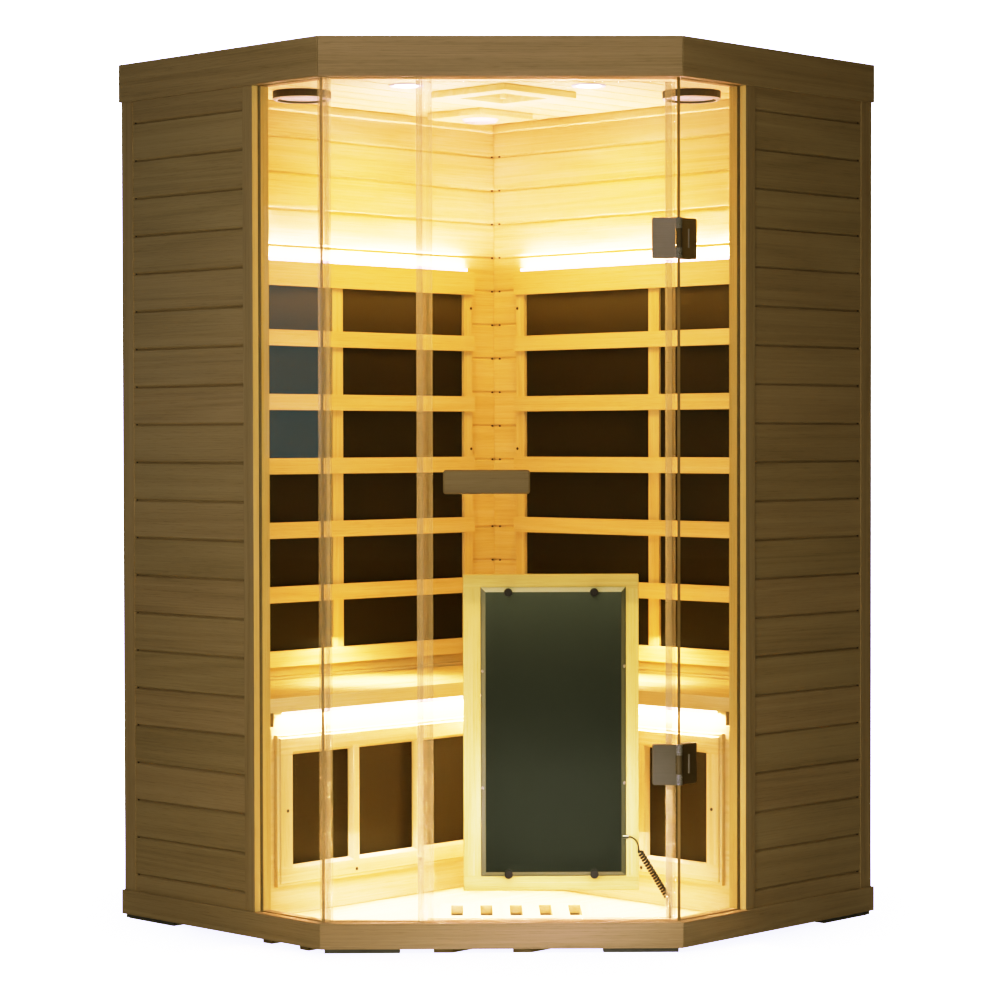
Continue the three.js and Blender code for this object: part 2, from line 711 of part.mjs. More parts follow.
function downlight() {
  const trim = 3;
  const low = CEILING_LOW - FIT - trim;
  const lens = DOWNLIGHT_CAN_RADIUS - trim;
  const profile = [
    [0, low + trim],
    [lens, low + trim],
    [lens + trim, low],
    [DOWNLIGHT_RADIUS - 1, low],
    [DOWNLIGHT_RADIUS, low + 1],
    [DOWNLIGHT_RADIUS, low + trim],
    [DOWNLIGHT_CAN_RADIUS, low + trim],
    [DOWNLIGHT_CAN_RADIUS, low + DOWNLIGHT_CAN_DEPTH],
    [0, low + DOWNLIGHT_CAN_DEPTH],
  ];
  return turned(profile, -DOWNLIGHT_X, DOWNLIGHT_Y);
}

function powerBox() {
  const low = CEILING_TOP + FIT;
  const box = slab(around(0, POWER_BOX_WIDTH), around(POWER_BOX_Y, POWER_BOX_DEPTH), [low, low + POWER_BOX_HEIGHT]);
  const back = POWER_BOX_Y + POWER_BOX_DEPTH / 2;
  const inlet = peg(GLAND_RADIUS, 0, low + POWER_BOX_HEIGHT / 2, [back - 1, back + GLAND_HEIGHT]);
  return shaped(box, { plus: [inlet] });
}

/** A side pane from the post's slot to the front corner, with holes for hinge studs. */
function sidePane(holes) {
  const start = WOOD_WALL_END - GLASS_GROOVE_DEPTH + FIT;
  const end = SIDE_LENGTH - GLASS_SETBACK * MITRE - GLASS_CORNER_GAP;
  const pane = slab([start, end], GLASS_SPAN, fixedGlassHeights());
  return shaped(pane, { minus: holes }).applyMatrix4(wallFrame(LEFT));
}

function fixedGlassHeights() {
  return [BASE_TOP - GLASS_GROOVE_DEPTH + FIT, FASCIA_LOW + GLASS_GROOVE_DEPTH - FIT];
}

function frontPane() {
  const start = GLASS_SETBACK * MITRE + GLASS_CORNER_GAP;
  const pane = slab([start, FIXED_GLASS_END], GLASS_SPAN, fixedGlassHeights());
  return pane.applyMatrix4(wallFrame(FRONT));
}

const HINGE_CENTRES = [HINGE_LOWER_CENTRE, HINGE_UPPER_CENTRE];

function studHeights() {
  return HINGE_CENTRES.flatMap((z) => [z - HINGE_STUD_RISE, z + HINGE_STUD_RISE]);
}

function studHoles(along) {
  const reach = [GLASS_SETBACK - 1, GLASS_BACK + 1];
  return studHeights().map((z) => peg(STUD_RADIUS + FIT, along, z, reach));
}

/** A bent strip around a corner of the glass, between two insets and with a leg along each pane. */
function elbow([near, far], leg) {
  const end = (edge, inset, sign) => {
    const corner = meet(LEFT, inset, FRONT, inset);
    return corner.addScaledVector(EDGES[edge].along, sign * leg);
  };
  const corner = (inset) => meet(LEFT, inset, FRONT, inset);
  return [
    end(LEFT, near, -1),
    corner(near),
    end(FRONT, near, 1),
    end(FRONT, far, 1),
    corner(far),
    end(LEFT, far, -1),
  ];
}

/** The clear joint between the left pane and the fixed front pane. */
function cornerSeal() {
  const heights = [BASE_TOP + FIT, FASCIA_LOW - FIT];
  const front = GLASS_SETBACK - SEAL_CLEARANCE;
  const back = GLASS_BACK + SEAL_CLEARANCE;
  const coreLeg = GLASS_CORNER_GAP - (GLASS_THICKNESS + SEAL_CLEARANCE) * MITRE - FIT;
  const core = prism(elbow([front, back], coreLeg), heights);
  const outer = prism(elbow([front - SEAL_WALL, front], SEAL_LEG), heights);
  const inner = prism(elbow([back, back + SEAL_WALL], SEAL_LEG), heights);
  return shaped(core, { plus: [outer, inner] });
}

/** A clear strip clipped on an upright glass edge: the edge's x, and which way the glass lies. */
function clipSeal(edgeX, glassSide, heights) {
  const front = GLASS_SETBACK - SEAL_CLEARANCE;
  const back = GLASS_BACK + SEAL_CLEARANCE;
  const free = edgeX - glassSide * (FIT + SEAL_WALL);
  const order = (a, b) => (a < b ? [a, b] : [b, a]);
  const lip = order(free, edgeX + glassSide * (SEAL_LEG - SEAL_WALL));
  const web = slab(order(free, edgeX - glassSide * FIT), [front - SEAL_WALL, back + SEAL_WALL], heights);
  const outer = slab(lip, [front - SEAL_WALL, front], heights);
  const inner = slab(lip, [back, back + SEAL_WALL], heights);
  return { web, lips: [outer, inner] };
}

/** The strip on the fixed pane that the door closes against from outside. */
function strikeSeal() {
  const heights = [BASE_TOP + FIT, FASCIA_LOW - FIT];
  const { web, lips } = clipSeal(FIXED_EDGE_X, -1, heights);
  const stopBack = GLASS_BACK + SEAL_CLEARANCE + SEAL_WALL;
  const reach = [FIXED_EDGE_X + FIT, DOOR_SPAN[0] + SEAL_LEG - SEAL_WALL];
  const stop = slab(reach, [GLASS_BACK + 2 * FIT, stopBack + FIT], heights);
  return shaped(web, { plus: [...lips, stop] });
}

/** The strip on the door's hinged edge, with a fin over the gap, cut back to its web behind each hinge. */
function hingeSideSeal() {
  const { web, lips } = clipSeal(DOOR_SPAN[1], -1, [DOOR_LOW, DOOR_HIGH]);
  const front = GLASS_SETBACK - SEAL_CLEARANCE;
  const back = GLASS_BACK + SEAL_CLEARANCE;
  const reach = [DOOR_SPAN[1] - 2 * SEAL_LEG, PIN_X];
  const webEnd = DOOR_SPAN[1] + FIT + SEAL_WALL;
  const fin = slab([webEnd - 0.5, webEnd + SEAL_FIN], [back - SEAL_WALL, back + SEAL_WALL], [DOOR_LOW, DOOR_HIGH]);
  const cuts = HINGE_CENTRES.flatMap((z) => {
    const heights = around(z, HINGE_HEIGHT + 4 * FIT);
    const beside = slab([webEnd, PIN_X], [0, RAIL_WIDTH], heights);
    return [slab(reach, [0, front], heights), slab(reach, [back, RAIL_WIDTH], heights), beside];
  });
  return shaped(web, { plus: [...lips, fin], minus: cuts });
}

/** One leaf of a glass hinge, in axes along its pane, out of it and up from the hinge's centre. */
function hingeLeaf(knuckles, withPin) {
  const half = HINGE_HEIGHT / 2;
  const glassFront = HINGE_PIN_SETBACK - GLASS_SETBACK;
  const glassBack = glassFront - GLASS_THICKNESS;
  const outer = [glassFront + FIT, glassFront + FIT + HINGE_PLATE_THICKNESS];
  const inner = [glassBack - FIT - HINGE_PLATE_THICKNESS, glassBack - FIT];
  const outline = (start) => roundedRectangle([start, HINGE_PLATE_END], [-half, half], HINGE_CORNER);
  const plate = upright(outline(HINGE_PLATE_START), outer, HINGE_BEVEL);
  const innerPlate = upright(outline(HINGE_INNER_START), inner, HINGE_BEVEL);
  const studs = [-HINGE_STUD_RISE, HINGE_STUD_RISE].map((z) =>
    peg(STUD_RADIUS, HINGE_STUD_PLACE, z, [inner[1] - 1, outer[0] + 1]),
  );
  const tongues = knuckles.map((heights) => slab([0, HINGE_PLATE_START + HINGE_CORNER], outer, heights));
  const barrels = knuckles.map((heights) => post(HINGE_BARREL_RADIUS, 0, 0, heights));
  const pin = post(HINGE_PIN_RADIUS, 0, 0, [-half, half]);
  const bore = post(HINGE_PIN_RADIUS + FIT, 0, 0, [-half - 1, half + 1]);
  const leaf = shaped(plate, { plus: [innerPlate, ...studs, ...tongues, ...barrels], minus: [bore] });
  return withPin ? shaped(leaf, { plus: [pin, ...capEnds(knuckles)] }) : leaf;
}

/** Discs that close the barrels of the leaf that keeps the pin. */
function capEnds(knuckles) {
  return knuckles.map((heights) => post(HINGE_PIN_RADIUS + 2 * FIT, 0, 0, heights));
}

function doorLeaf(centre) {
  const half = HINGE_KNUCKLE / 2 + FIT;
  const end = HINGE_HEIGHT / 2;
  const axes = new THREE.Matrix4().makeBasis(
    new THREE.Vector3(-1, 0, 0),
    new THREE.Vector3(0, -1, 0),
    new THREE.Vector3(0, 0, 1),
  );
  axes.setPosition(PIN_X, HINGE_PIN_SETBACK, centre);
  return turnedInto(hingeLeaf([[-end, -half], [half, end]], false), axes);
}

function fixedLeaf(centre) {
  const half = HINGE_KNUCKLE / 2;
  const diagonal = Math.SQRT1_2;
  const axes = new THREE.Matrix4().makeBasis(
    new THREE.Vector3(diagonal, diagonal, 0),
    new THREE.Vector3(diagonal, -diagonal, 0),
    new THREE.Vector3(0, 0, 1),
  );
  axes.setPosition(PIN_X, HINGE_PIN_SETBACK, centre);
  return turnedInto(hingeLeaf([[-half, half]], true), axes);
}

const HANDLE_STUDS = [-1, 1].map((side) => HANDLE_CENTRE_X + (side * HANDLE_STUD_SPACING) / 2);
const BOLT_XS = around(DOOR_HEATER_X, BOLT_SPACING_X);
const TRAY_X = around(DOOR_HEATER_X + 5, DOOR_HEATER_WIDTH - 2 * DOOR_HEATER_BORDER);
const TRAY_Z = around(DOOR_HEATER_Z + 2, DOOR_HEATER_HEIGHT - 2 * DOOR_HEATER_BORDER + 7);
const BOLT_ZS = [TRAY_Z[0] + BOLT_EDGE, TRAY_Z[1] - BOLT_EDGE];
const TRAY_FRONT = GLASS_BACK + TRAY_GLASS_GAP;

function doorPane() {
  const reach = [GLASS_SETBACK - 1, GLASS_BACK + 1];
  const handleHoles = HANDLE_STUDS.map((x) => peg(STUD_RADIUS + FIT, x, HANDLE_CENTRE_Z, reach));
  const boltHoles = BOLT_XS.flatMap((x) => BOLT_ZS.map((z) => peg(STUD_RADIUS + FIT, x, z, reach)));
  const hingeHoles = studHoles(PIN_X - HINGE_STUD_PLACE);
  const pane = slab(DOOR_SPAN, GLASS_SPAN, [DOOR_LOW, DOOR_HIGH]);
  return shaped(pane, { minus: [...handleHoles, ...boltHoles, ...hingeHoles] });
}

/** The wooden pull, with a plate on each side of the glass and two studs through it. */
function doorHandle() {
  const outline = roundedRectangle(
    around(HANDLE_CENTRE_X, HANDLE_WIDTH),
    around(HANDLE_CENTRE_Z, HANDLE_HEIGHT),
    HANDLE_STANDOFF / 2,
  );
  const outerBack = HANDLE_FRONT + HANDLE_THICKNESS;
  const innerFront = GLASS_BACK + HANDLE_STANDOFF;
  const outer = upright(outline, [HANDLE_FRONT, outerBack], 3);
  const inner = upright(outline, [innerFront, innerFront + HANDLE_THICKNESS], 3);
  const collars = HANDLE_STUDS.flatMap((x) => [
    peg(2 * STUD_RADIUS, x, HANDLE_CENTRE_Z, [outerBack - 1, GLASS_SETBACK - FIT]),
    peg(2 * STUD_RADIUS, x, HANDLE_CENTRE_Z, [GLASS_BACK + FIT, innerFront + 1]),
    peg(STUD_RADIUS, x, HANDLE_CENTRE_Z, [outerBack, innerFront]),
  ]);
  return shaped(outer, { plus: [inner, ...collars] });
}

function grown([low, high], by) {
  return [low - by, high + by];
}

/** A folded pan, its floor towards the glass, less deep by the sheet when it is the inside. */
function trayBody(sheet, depth) {
  const x = grown(TRAY_X, -sheet);
  const z = grown(TRAY_Z, -sheet);
  const front = { x: grown(x, -TRAY_SLOPE_INSET), z: grown(z, -TRAY_SLOPE_INSET) };
  const fold = TRAY_FRONT + TRAY_SLOPE_DEPTH;
  const slope = tapered(front, TRAY_FRONT + sheet, { x, z }, fold);
  return shaped(slope, { plus: [slab(x, [fold, TRAY_FRONT + depth], z)] });
}

/** The sheet-metal back of the door heater, with its four clamp bolts through the glass. */
function heaterTray() {
  const emboss = { x: grown(TRAY_X, -28), z: grown(TRAY_Z, -30) };
  const raised = slab(emboss.x, [TRAY_FRONT - 1, TRAY_FRONT + SHEET / 2], emboss.z);
  const bolts = BOLT_XS.flatMap((x) =>
    BOLT_ZS.flatMap((z) => [
      peg(BOLT_CAP_RADIUS, x, z, [GLASS_SETBACK - FIT - BOLT_CAP_HEIGHT, GLASS_SETBACK - FIT]),
      peg(STUD_RADIUS, x, z, [GLASS_SETBACK - 1, TRAY_FRONT + 1]),
      peg(BOLT_CAP_RADIUS, x, z, [GLASS_BACK + FIT, TRAY_FRONT + SHEET]),
    ]),
  );
  const boss = leadBoss();
  const pan = shaped(trayBody(0, TRAY_DEPTH), { minus: [trayBody(SHEET, TRAY_DEPTH + 1)] });
  return shaped(pan, { plus: [raised, ...bolts, boss] });
}

const BOSS_END = TRAY_X[1] + 5;
const BOSS_Y = TRAY_FRONT + 5;
const BOSS_Z = 238;

/** The short sleeve where the lead leaves the tray's folded side. */
function leadBoss() {
  const length = TRAY_SLOPE_INSET + 2;
  const sleeve = new THREE.CylinderGeometry(4, 4, length, 16).rotateZ(Math.PI / 2);
  return sleeve.translate(BOSS_END - length / 2, BOSS_Y, BOSS_Z);
}

function heaterElement() {
  const x = grown(TRAY_X, -SHEET - FIT);
  const z = grown(TRAY_Z, -SHEET - FIT);
  const back = TRAY_FRONT + TRAY_DEPTH - SHEET;
  return slab(x, [back - ELEMENT_THICKNESS, back], z);
}

/** The wooden surround of the door heater, slatted towards the sitter. */
function heaterFrame() {
  const front = GLASS_BACK + FRAME_GLASS_GAP;
  const back = front + FRAME_THICKNESS;
  const z = around(DOOR_HEATER_Z, DOOR_HEATER_HEIGHT);
  const board = slab(around(DOOR_HEATER_X, DOOR_HEATER_WIDTH), [front, back], z);
  const opening = slab(grown(TRAY_X, FIT), [front - 1, back + 1], grown(TRAY_Z, FIT));
  const slatSpan = grown(TRAY_X, DOOR_HEATER_BORDER / 2);
  const slats = Array.from({ length: GUARD_ROWS - 1 }, (_, i) => {
    const centre = z[0] + ((i + 1) * DOOR_HEATER_HEIGHT) / GUARD_ROWS;
    return slab(slatSpan, [back - 1, back + GUARD_SLAT_DEPTH], around(centre, GUARD_SLAT));
  });
  return shaped(shaped(board, { minus: [opening] }), { plus: slats });
}

function bench() {
  const near = LINING_FACE + FIT;
  const deck = boardedDeck(
    [-WALL_LENGTH, 2 * WALL_LENGTH],
    [near - 1, BENCH_FRONT],
    [BENCH_LOW, BENCH_TOP],
    BENCH_FRONT - BOARD_PITCH,
    { back: true },
  );
  const top = common(
    deck.applyMatrix4(wallFrame(REAR_LEFT)),
    prism(leftHalf([near, BENCH_FRONT]), [BENCH_LOW - 1, BENCH_TOP + 1]),
  );
  const cleat = prism(leftHalf([near, near + BENCH_THICKNESS]), [BENCH_LOW - BENCH_THICKNESS, BENCH_LOW + 1]);
  return shaped(top, { plus: [cleat] });
}

const CALF_PITCH = CALF_WINDOW_WIDTH + CALF_STILE;
const CALF_LAST = CALF_FIRST_WINDOW + CALF_WINDOWS * CALF_PITCH - CALF_STILE;
const CALF_WINDOW_Z = [CALF_WINDOW_LOW, CALF_WINDOW_LOW + CALF_WINDOW_HEIGHT];

function kickPanel() {
  const heights = [FLOOR_TOP + FIT, BENCH_LOW - FIT];
  const panel = prism(leftHalf([KICK_FACE - KICK_THICKNESS, KICK_FACE]), heights);
  const opening = slab(
    grown([CALF_FIRST_WINDOW, CALF_LAST], CALF_STILE / 6),
    [0, BENCH_FRONT],
    grown(CALF_WINDOW_Z, CALF_STILE / 6),
  );
  return shaped(panel, { minus: [opening.applyMatrix4(wallFrame(REAR_LEFT))] });
}

/** The raised frame over the calf heater, with a row of windows. */
function calfGuard() {
  const near = KICK_FACE + FIT;
  const along = [CALF_FIRST_WINDOW - CALF_STILE, CALF_LAST + CALF_END_STILE];
  const board = slab(along, [near, near + CALF_GUARD_THICKNESS], grown(CALF_WINDOW_Z, CALF_RAIL));
  const edgeBead = slab(
    grown(along, -CALF_BEAD),
    [near + 1, near + CALF_GUARD_THICKNESS + CALF_BEAD / 2],
    grown(CALF_WINDOW_Z, CALF_RAIL - CALF_BEAD),
  );
  const windows = Array.from({ length: CALF_WINDOWS }, (_, i) => {
    const x = [CALF_FIRST_WINDOW + i * CALF_PITCH, CALF_FIRST_WINDOW + i * CALF_PITCH + CALF_WINDOW_WIDTH];
    const face = near + CALF_GUARD_THICKNESS + CALF_BEAD / 2;
    const splay = tapered(
      { x, z: CALF_WINDOW_Z },
      near + CALF_BEAD / 2,
      { x: grown(x, CALF_BEAD), z: grown(CALF_WINDOW_Z, CALF_BEAD) },
      face + 1,
    );
    return shaped(splay, { plus: [slab(x, [0, face], CALF_WINDOW_Z)] });
  });
  return shaped(board, { plus: [edgeBead], minus: windows }).applyMatrix4(wallFrame(REAR_LEFT));
}

function calfHeater() {
  const back = KICK_FACE - KICK_THICKNESS - FIT;
  const along = grown([CALF_FIRST_WINDOW, CALF_LAST], CALF_STILE / 3);
  const plate = slab(along, [back - CALF_HEATER_THICKNESS, back], grown(CALF_WINDOW_Z, CALF_STILE / 3));
  return plate.applyMatrix4(wallFrame(REAR_LEFT));
}

const GUARD_COLUMNS = [0, 1].map((i) => {
  const start = GUARD_START + GUARD_END_STILE + i * (GUARD_COLUMN + GUARD_BATTEN);
  return [start, start + GUARD_COLUMN];
});
const GUARD_END = GUARD_COLUMNS[1][1] + GUARD_END_STILE;
const GUARD_TOP = GUARD_LOW + GUARD_ROWS * GUARD_PITCH - 10 + GUARD_TOP_RAIL;

/** Level slats over upright stiles, in front of a back heater. */
function heaterGuard() {
  const wall = LINING_FACE + FIT;
  const front = wall + GUARD_STILE_DEPTH;
  const stileHeights = [GUARD_LOW, GUARD_TOP];
  const stiles = [
    slab([GUARD_START, GUARD_COLUMNS[0][0]], [wall, front + 1], stileHeights),
    slab([GUARD_COLUMNS[1][1], GUARD_END], [wall, front + 1], stileHeights),
    slab([GUARD_COLUMNS[0][1], GUARD_COLUMNS[1][0]], [wall + BACK_HEATER_THICKNESS + FIT, front + 1], stileHeights),
  ];
  const slatDepth = [front, front + GUARD_SLAT_DEPTH];
  const slats = Array.from({ length: GUARD_ROWS }, (_, i) => {
    const low = GUARD_LOW + i * GUARD_PITCH;
    return slab([GUARD_START, GUARD_END], slatDepth, [low, low + GUARD_SLAT]);
  });
  const topRail = slab([GUARD_START, GUARD_END], slatDepth, [GUARD_TOP - GUARD_TOP_RAIL, GUARD_TOP]);
  return shaped(topRail, { plus: [...stiles, ...slats] }).applyMatrix4(wallFrame(REAR_LEFT));
}

function backHeater() {
  const wall = LINING_FACE + FIT;
  const along = grown([GUARD_COLUMNS[0][0], GUARD_COLUMNS[1][1]], -2);
  const plate = slab(along, [wall, wall + BACK_HEATER_THICKNESS], [GUARD_LOW, GUARD_TOP - GUARD_TOP_RAIL / 2]);
  return plate.applyMatrix4(wallFrame(REAR_LEFT));
}

/** The middle line of the curly lead, from the tray's sleeve to the floor gland. */
function leadLine() {
  const points = [
    new THREE.Vector3(BOSS_END + FIT, BOSS_Y, BOSS_Z),
    new THREE.Vector3(BOSS_END + LEAD_DIAMETER, BOSS_Y, BOSS_Z),
    new THREE.Vector3(BOSS_END + 16, BOSS_Y - 1, BOSS_Z - 6),
    new THREE.Vector3(BOSS_END + 25, BOSS_Y, BOSS_Z - 17),
  ];
  const axis = CURL_END.clone().sub(CURL_START);
  const away = axis.clone().normalize();
  const sideways = new THREE.Vector3(0, 1, 0).cross(away).normalize();
  const third = away.clone().cross(sideways);
  const reach = (CURL_DIAMETER - LEAD_DIAMETER) / 2;
  const steps = CURLS * CURL_STEPS;
  for (let i = 0; i <= steps; i += 1) {
    const turn = (2 * Math.PI * i) / CURL_STEPS;
    const taper = Math.min(1, i / CURL_STEPS, (steps - i) / CURL_STEPS);
    const point = CURL_START.clone().addScaledVector(axis, i / steps);
    point.addScaledVector(sideways, reach * taper * Math.cos(turn));
    points.push(point.addScaledVector(third, reach * taper * Math.sin(turn)));
  }
  const top = FLOOR_TOP + GLAND_HEIGHT;
  points.push(
    new THREE.Vector3(GLAND_X - 1, GLAND_Y - 2, CURL_END.z - 14),
    new THREE.Vector3(GLAND_X, GLAND_Y, top + 3 * LEAD_DIAMETER),
    new THREE.Vector3(GLAND_X, GLAND_Y, top),
    new THREE.Vector3(GLAND_X, GLAND_Y, FLOOR_TOP + 2),
  );
  return points;
}

function printLeastGap(points) {
  let least = Infinity;
  for (let i = 0; i < points.length; i += 1) {
    let run = 0;
    for (let j = i + 1; j < points.length; j += 1) {
      run += points[j].distanceTo(points[j - 1]);
      if (run > 3 * LEAD_DIAMETER) {
        least = Math.min(least, points[i].distanceTo(points[j]) - LEAD_DIAMETER);
      }
    }
  }
  console.log(`least gap of the curly lead to itself: ${least.toFixed(2)} mm`);
}

function curlyLead() {
  const line = leadLine();
  const path = new THREE.CatmullRomCurve3(line, false, "centripetal");
  path.arcLengthDivisions = 20 * line.length;
  const steps = 9 * CURLS + 24;
  printLeastGap(path.getSpacedPoints(4 * steps));
  const ring = Array.from({ length: LEAD_SIDES }, (_, i) => {
    const angle = (2 * Math.PI * i) / LEAD_SIDES;
    return new THREE.Vector2(Math.cos(angle), Math.sin(angle)).multiplyScalar(LEAD_DIAMETER / 2);
  });
  return new THREE.ExtrudeGeometry(new THREE.Shape(ring), { steps, extrudePath: path, bevelEnabled: false });
}

function leadGland() {
  const bore = LEAD_DIAMETER / 2 + FIT;
  const low = FLOOR_TOP + FIT;
  const high = FLOOR_TOP + GLAND_HEIGHT;
  const profile = [
    [bore, low],
    [GLAND_RADIUS, low],
    [GLAND_RADIUS, low + GLAND_HEIGHT / 3],
    [bore + 3, high],
    [bore, high],
    [bore, low],
  ];
  return turned(profile, GLAND_X, GLAND_Y, 20);
}

function named(name, geometry, finish) {
  const clean = welded(geometry);
  clean.computeVertexNormals();
  const mesh = new THREE.Mesh(clean, new THREE.MeshStandardMaterial(FINISH[finish]));
  mesh.name = name;
  return mesh;
}

/** A left-hand piece and its mirror image. */
function pair(name, geometry, finish) {
  return [named(`${name}_left`, geometry, finish), named(`${name}_right`, mirrored(geometry), finish)];
}

function ringRails(name, build) {
  const front = named(`${name}_front`, build(FRONT), "outerWood");
  const rear = pair(`${name}_rear`, build(REAR_LEFT), "outerWood");
  return [front, ...pair(`${name}_side`, build(LEFT), "outerWood"), ...rear];
}

function shellPieces() {
  const corner = WALL_INSET + FIT;
  return [
    ...ringRails("base_rail", baseRail),
    named("floor_panel", floorPanel(), "innerWood"),
    named("floor_heater_grille", floorGrille(), "innerWood"),
    named("floor_heater_element", floorElementBox(0), "heater"),
    ...pair("side_wall", sideWall(), "outerWood"),
    named("rear_wall_left", rearWall(corner), "outerWood"),
    named("rear_wall_right", mirrored(rearWall(RAIL_WIDTH + FIT)), "outerWood"),
    named("rear_lining_left", rearLining(RAIL_WIDTH + FIT), "innerWood"),
    named("rear_lining_right", mirrored(rearLining(LINING_FACE + FIT)), "innerWood"),
    ...ringRails("roof_rail", roofRail),
    ...pair("cornice", cornice(), "innerWood"),
    named("ceiling_panel", ceilingPanel(), "innerWood"),
    named("power_box", powerBox(), "steel"),
  ];
}

function ceilingPieces() {
  return [
    named("vent_frame", squareTrim(VENT_FRAME, VENT_OPENING, ventFrame), "innerWood"),
    named("lamp_frame", lampTrim(), "innerWood"),
    named("lamp_lens", lampLens(), "lens"),
    ...pair("speaker", speaker(), "speaker"),
    ...pair("downlight", downlight(), "lens"),
  ];
}

function glazingPieces() {
  return [
    named("side_glass_left", sidePane([]), "glass"),
    named("side_glass_right", mirrored(sidePane(studHoles(PIN_ALONG_SIDE - HINGE_STUD_PLACE))), "glass"),
    named("front_glass", frontPane(), "glass"),
    named("corner_seal", cornerSeal(), "seal"),
    named("strike_seal", strikeSeal(), "seal"),
    named("hinge_upper_fixed_leaf", fixedLeaf(HINGE_UPPER_CENTRE), "bronze"),
    named("hinge_lower_fixed_leaf", fixedLeaf(HINGE_LOWER_CENTRE), "bronze"),
  ];
}

function benchPieces() {
  return [
    ...pair("bench", bench(), "innerWood"),
    ...pair("kick_panel", kickPanel(), "innerWood"),
    ...pair("calf_guard", calfGuard(), "innerWood"),
    ...pair("calf_heater", calfHeater(), "heater"),
    ...pair("heater_guard", heaterGuard(), "innerWood"),
    ...pair("back_heater", backHeater(), "heater"),
    named("curly_lead", curlyLead(), "rubber"),
    named("lead_gland", leadGland(), "rubber"),
  ];
}

function doorPieces() {
  return [
    named("door_glass", doorPane(), "glass"),
    named("hinge_side_seal", hingeSideSeal(), "seal"),
    named("door_handle", doorHandle(), "outerWood"),
    named("door_heater_frame", heaterFrame(), "innerWood"),
    named("door_heater_tray", heaterTray(), "tray"),
    named("door_heater_element", heaterElement(), "heater"),
    named("hinge_upper_door_leaf", doorLeaf(HINGE_UPPER_CENTRE), "bronze"),
    named("hinge_lower_door_leaf", doorLeaf(HINGE_LOWER_CENTRE), "bronze"),
  ];
}

function assembled(name, pieces) {
  const group = new THREE.Group();
  group.name = name;
  group.add(...pieces);
  return group;
}

const sauna = new THREE.Group();
sauna.name = "corner_sauna";
sauna.add(
  assembled("shell", shellPieces()),
  assembled("ceiling_fittings", ceilingPieces()),
  assembled("glazing", glazingPieces()),
  assembled("benches_and_heaters", benchPieces()),
  assembled("door", doorPieces()),
  assembled("vent", [named("vent_slider", ventSlider(), "innerWood")]),
);
sauna.position.y = -(DEPTH + HANDLE_FRONT) / 2;

export default sauna;
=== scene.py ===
"""Corner infrared sauna cabin: finishes, light strips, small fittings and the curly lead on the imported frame.

Metres, +Z up, the door faces -Y. A place on a wall is given along it, inward from its outer face, and up.
"""

import json
import logging
import math
from collections.abc import Callable, Iterable, Sequence
from dataclasses import dataclass, field
from enum import Enum
from typing import Any

import bpy
from mathutils import Matrix, Vector

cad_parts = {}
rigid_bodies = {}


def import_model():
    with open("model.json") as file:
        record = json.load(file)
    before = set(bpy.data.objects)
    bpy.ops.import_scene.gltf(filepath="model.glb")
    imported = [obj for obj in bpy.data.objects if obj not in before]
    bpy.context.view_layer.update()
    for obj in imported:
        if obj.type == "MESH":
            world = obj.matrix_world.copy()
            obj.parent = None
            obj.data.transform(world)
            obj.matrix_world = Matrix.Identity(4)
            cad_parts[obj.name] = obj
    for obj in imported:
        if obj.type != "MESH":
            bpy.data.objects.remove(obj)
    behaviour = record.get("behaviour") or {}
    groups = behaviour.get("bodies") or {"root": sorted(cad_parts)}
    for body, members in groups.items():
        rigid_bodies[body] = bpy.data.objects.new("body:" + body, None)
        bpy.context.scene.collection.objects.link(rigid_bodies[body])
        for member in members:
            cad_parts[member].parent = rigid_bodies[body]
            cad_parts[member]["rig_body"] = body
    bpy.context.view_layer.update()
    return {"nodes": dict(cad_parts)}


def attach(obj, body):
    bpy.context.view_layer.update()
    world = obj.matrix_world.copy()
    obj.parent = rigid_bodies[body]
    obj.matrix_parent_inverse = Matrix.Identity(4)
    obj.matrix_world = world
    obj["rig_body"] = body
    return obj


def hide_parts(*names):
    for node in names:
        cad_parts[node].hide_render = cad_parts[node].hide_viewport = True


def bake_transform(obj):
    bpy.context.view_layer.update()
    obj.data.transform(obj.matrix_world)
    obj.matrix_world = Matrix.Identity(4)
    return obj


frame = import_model()

log = logging.getLogger("sauna")

Colour = tuple[float, float, float, float]
Point = tuple[float, float, float]
Pair = tuple[float, float]
Socket = bpy.types.NodeSocket
Material = bpy.types.Material
Thing = bpy.types.Object
FaceTest = Callable[[bpy.types.MeshPolygon], bool]

FRONT_FACE_Y = -0.654028
BACK_CORNER_Y = 0.663028
LEFT_CORNER = (-0.848528, -0.185500)
DIAGONAL = math.sqrt(0.5)
NEVER_PALER = (2.0, 3.0)
SLAT_ROWS = 5.9
SLAT_WIDTH = 0.0372
DOWN = Vector((0, 0, -1))
UP = Vector((0, 0, 1))
ACROSS = Vector((1, 0, 0))
FORWARD = Vector((0, -1, 0))


class Side(Enum):
    """The left or right half of the cabin, as a sign on X."""

    LEFT = -1
    RIGHT = 1

    @property
    def word(self) -> str:
        """The side's name as it stands in piece names."""
        return self.name.lower()

    @property
    def side_turn(self) -> int:
        """Angle that brings the side wall's run onto X, in degrees."""
        return 90 + 45 * self.value

    @property
    def rear_turn(self) -> int:
        """Angle that brings the rear wall's run onto X, in degrees."""
        return 90 - 45 * self.value


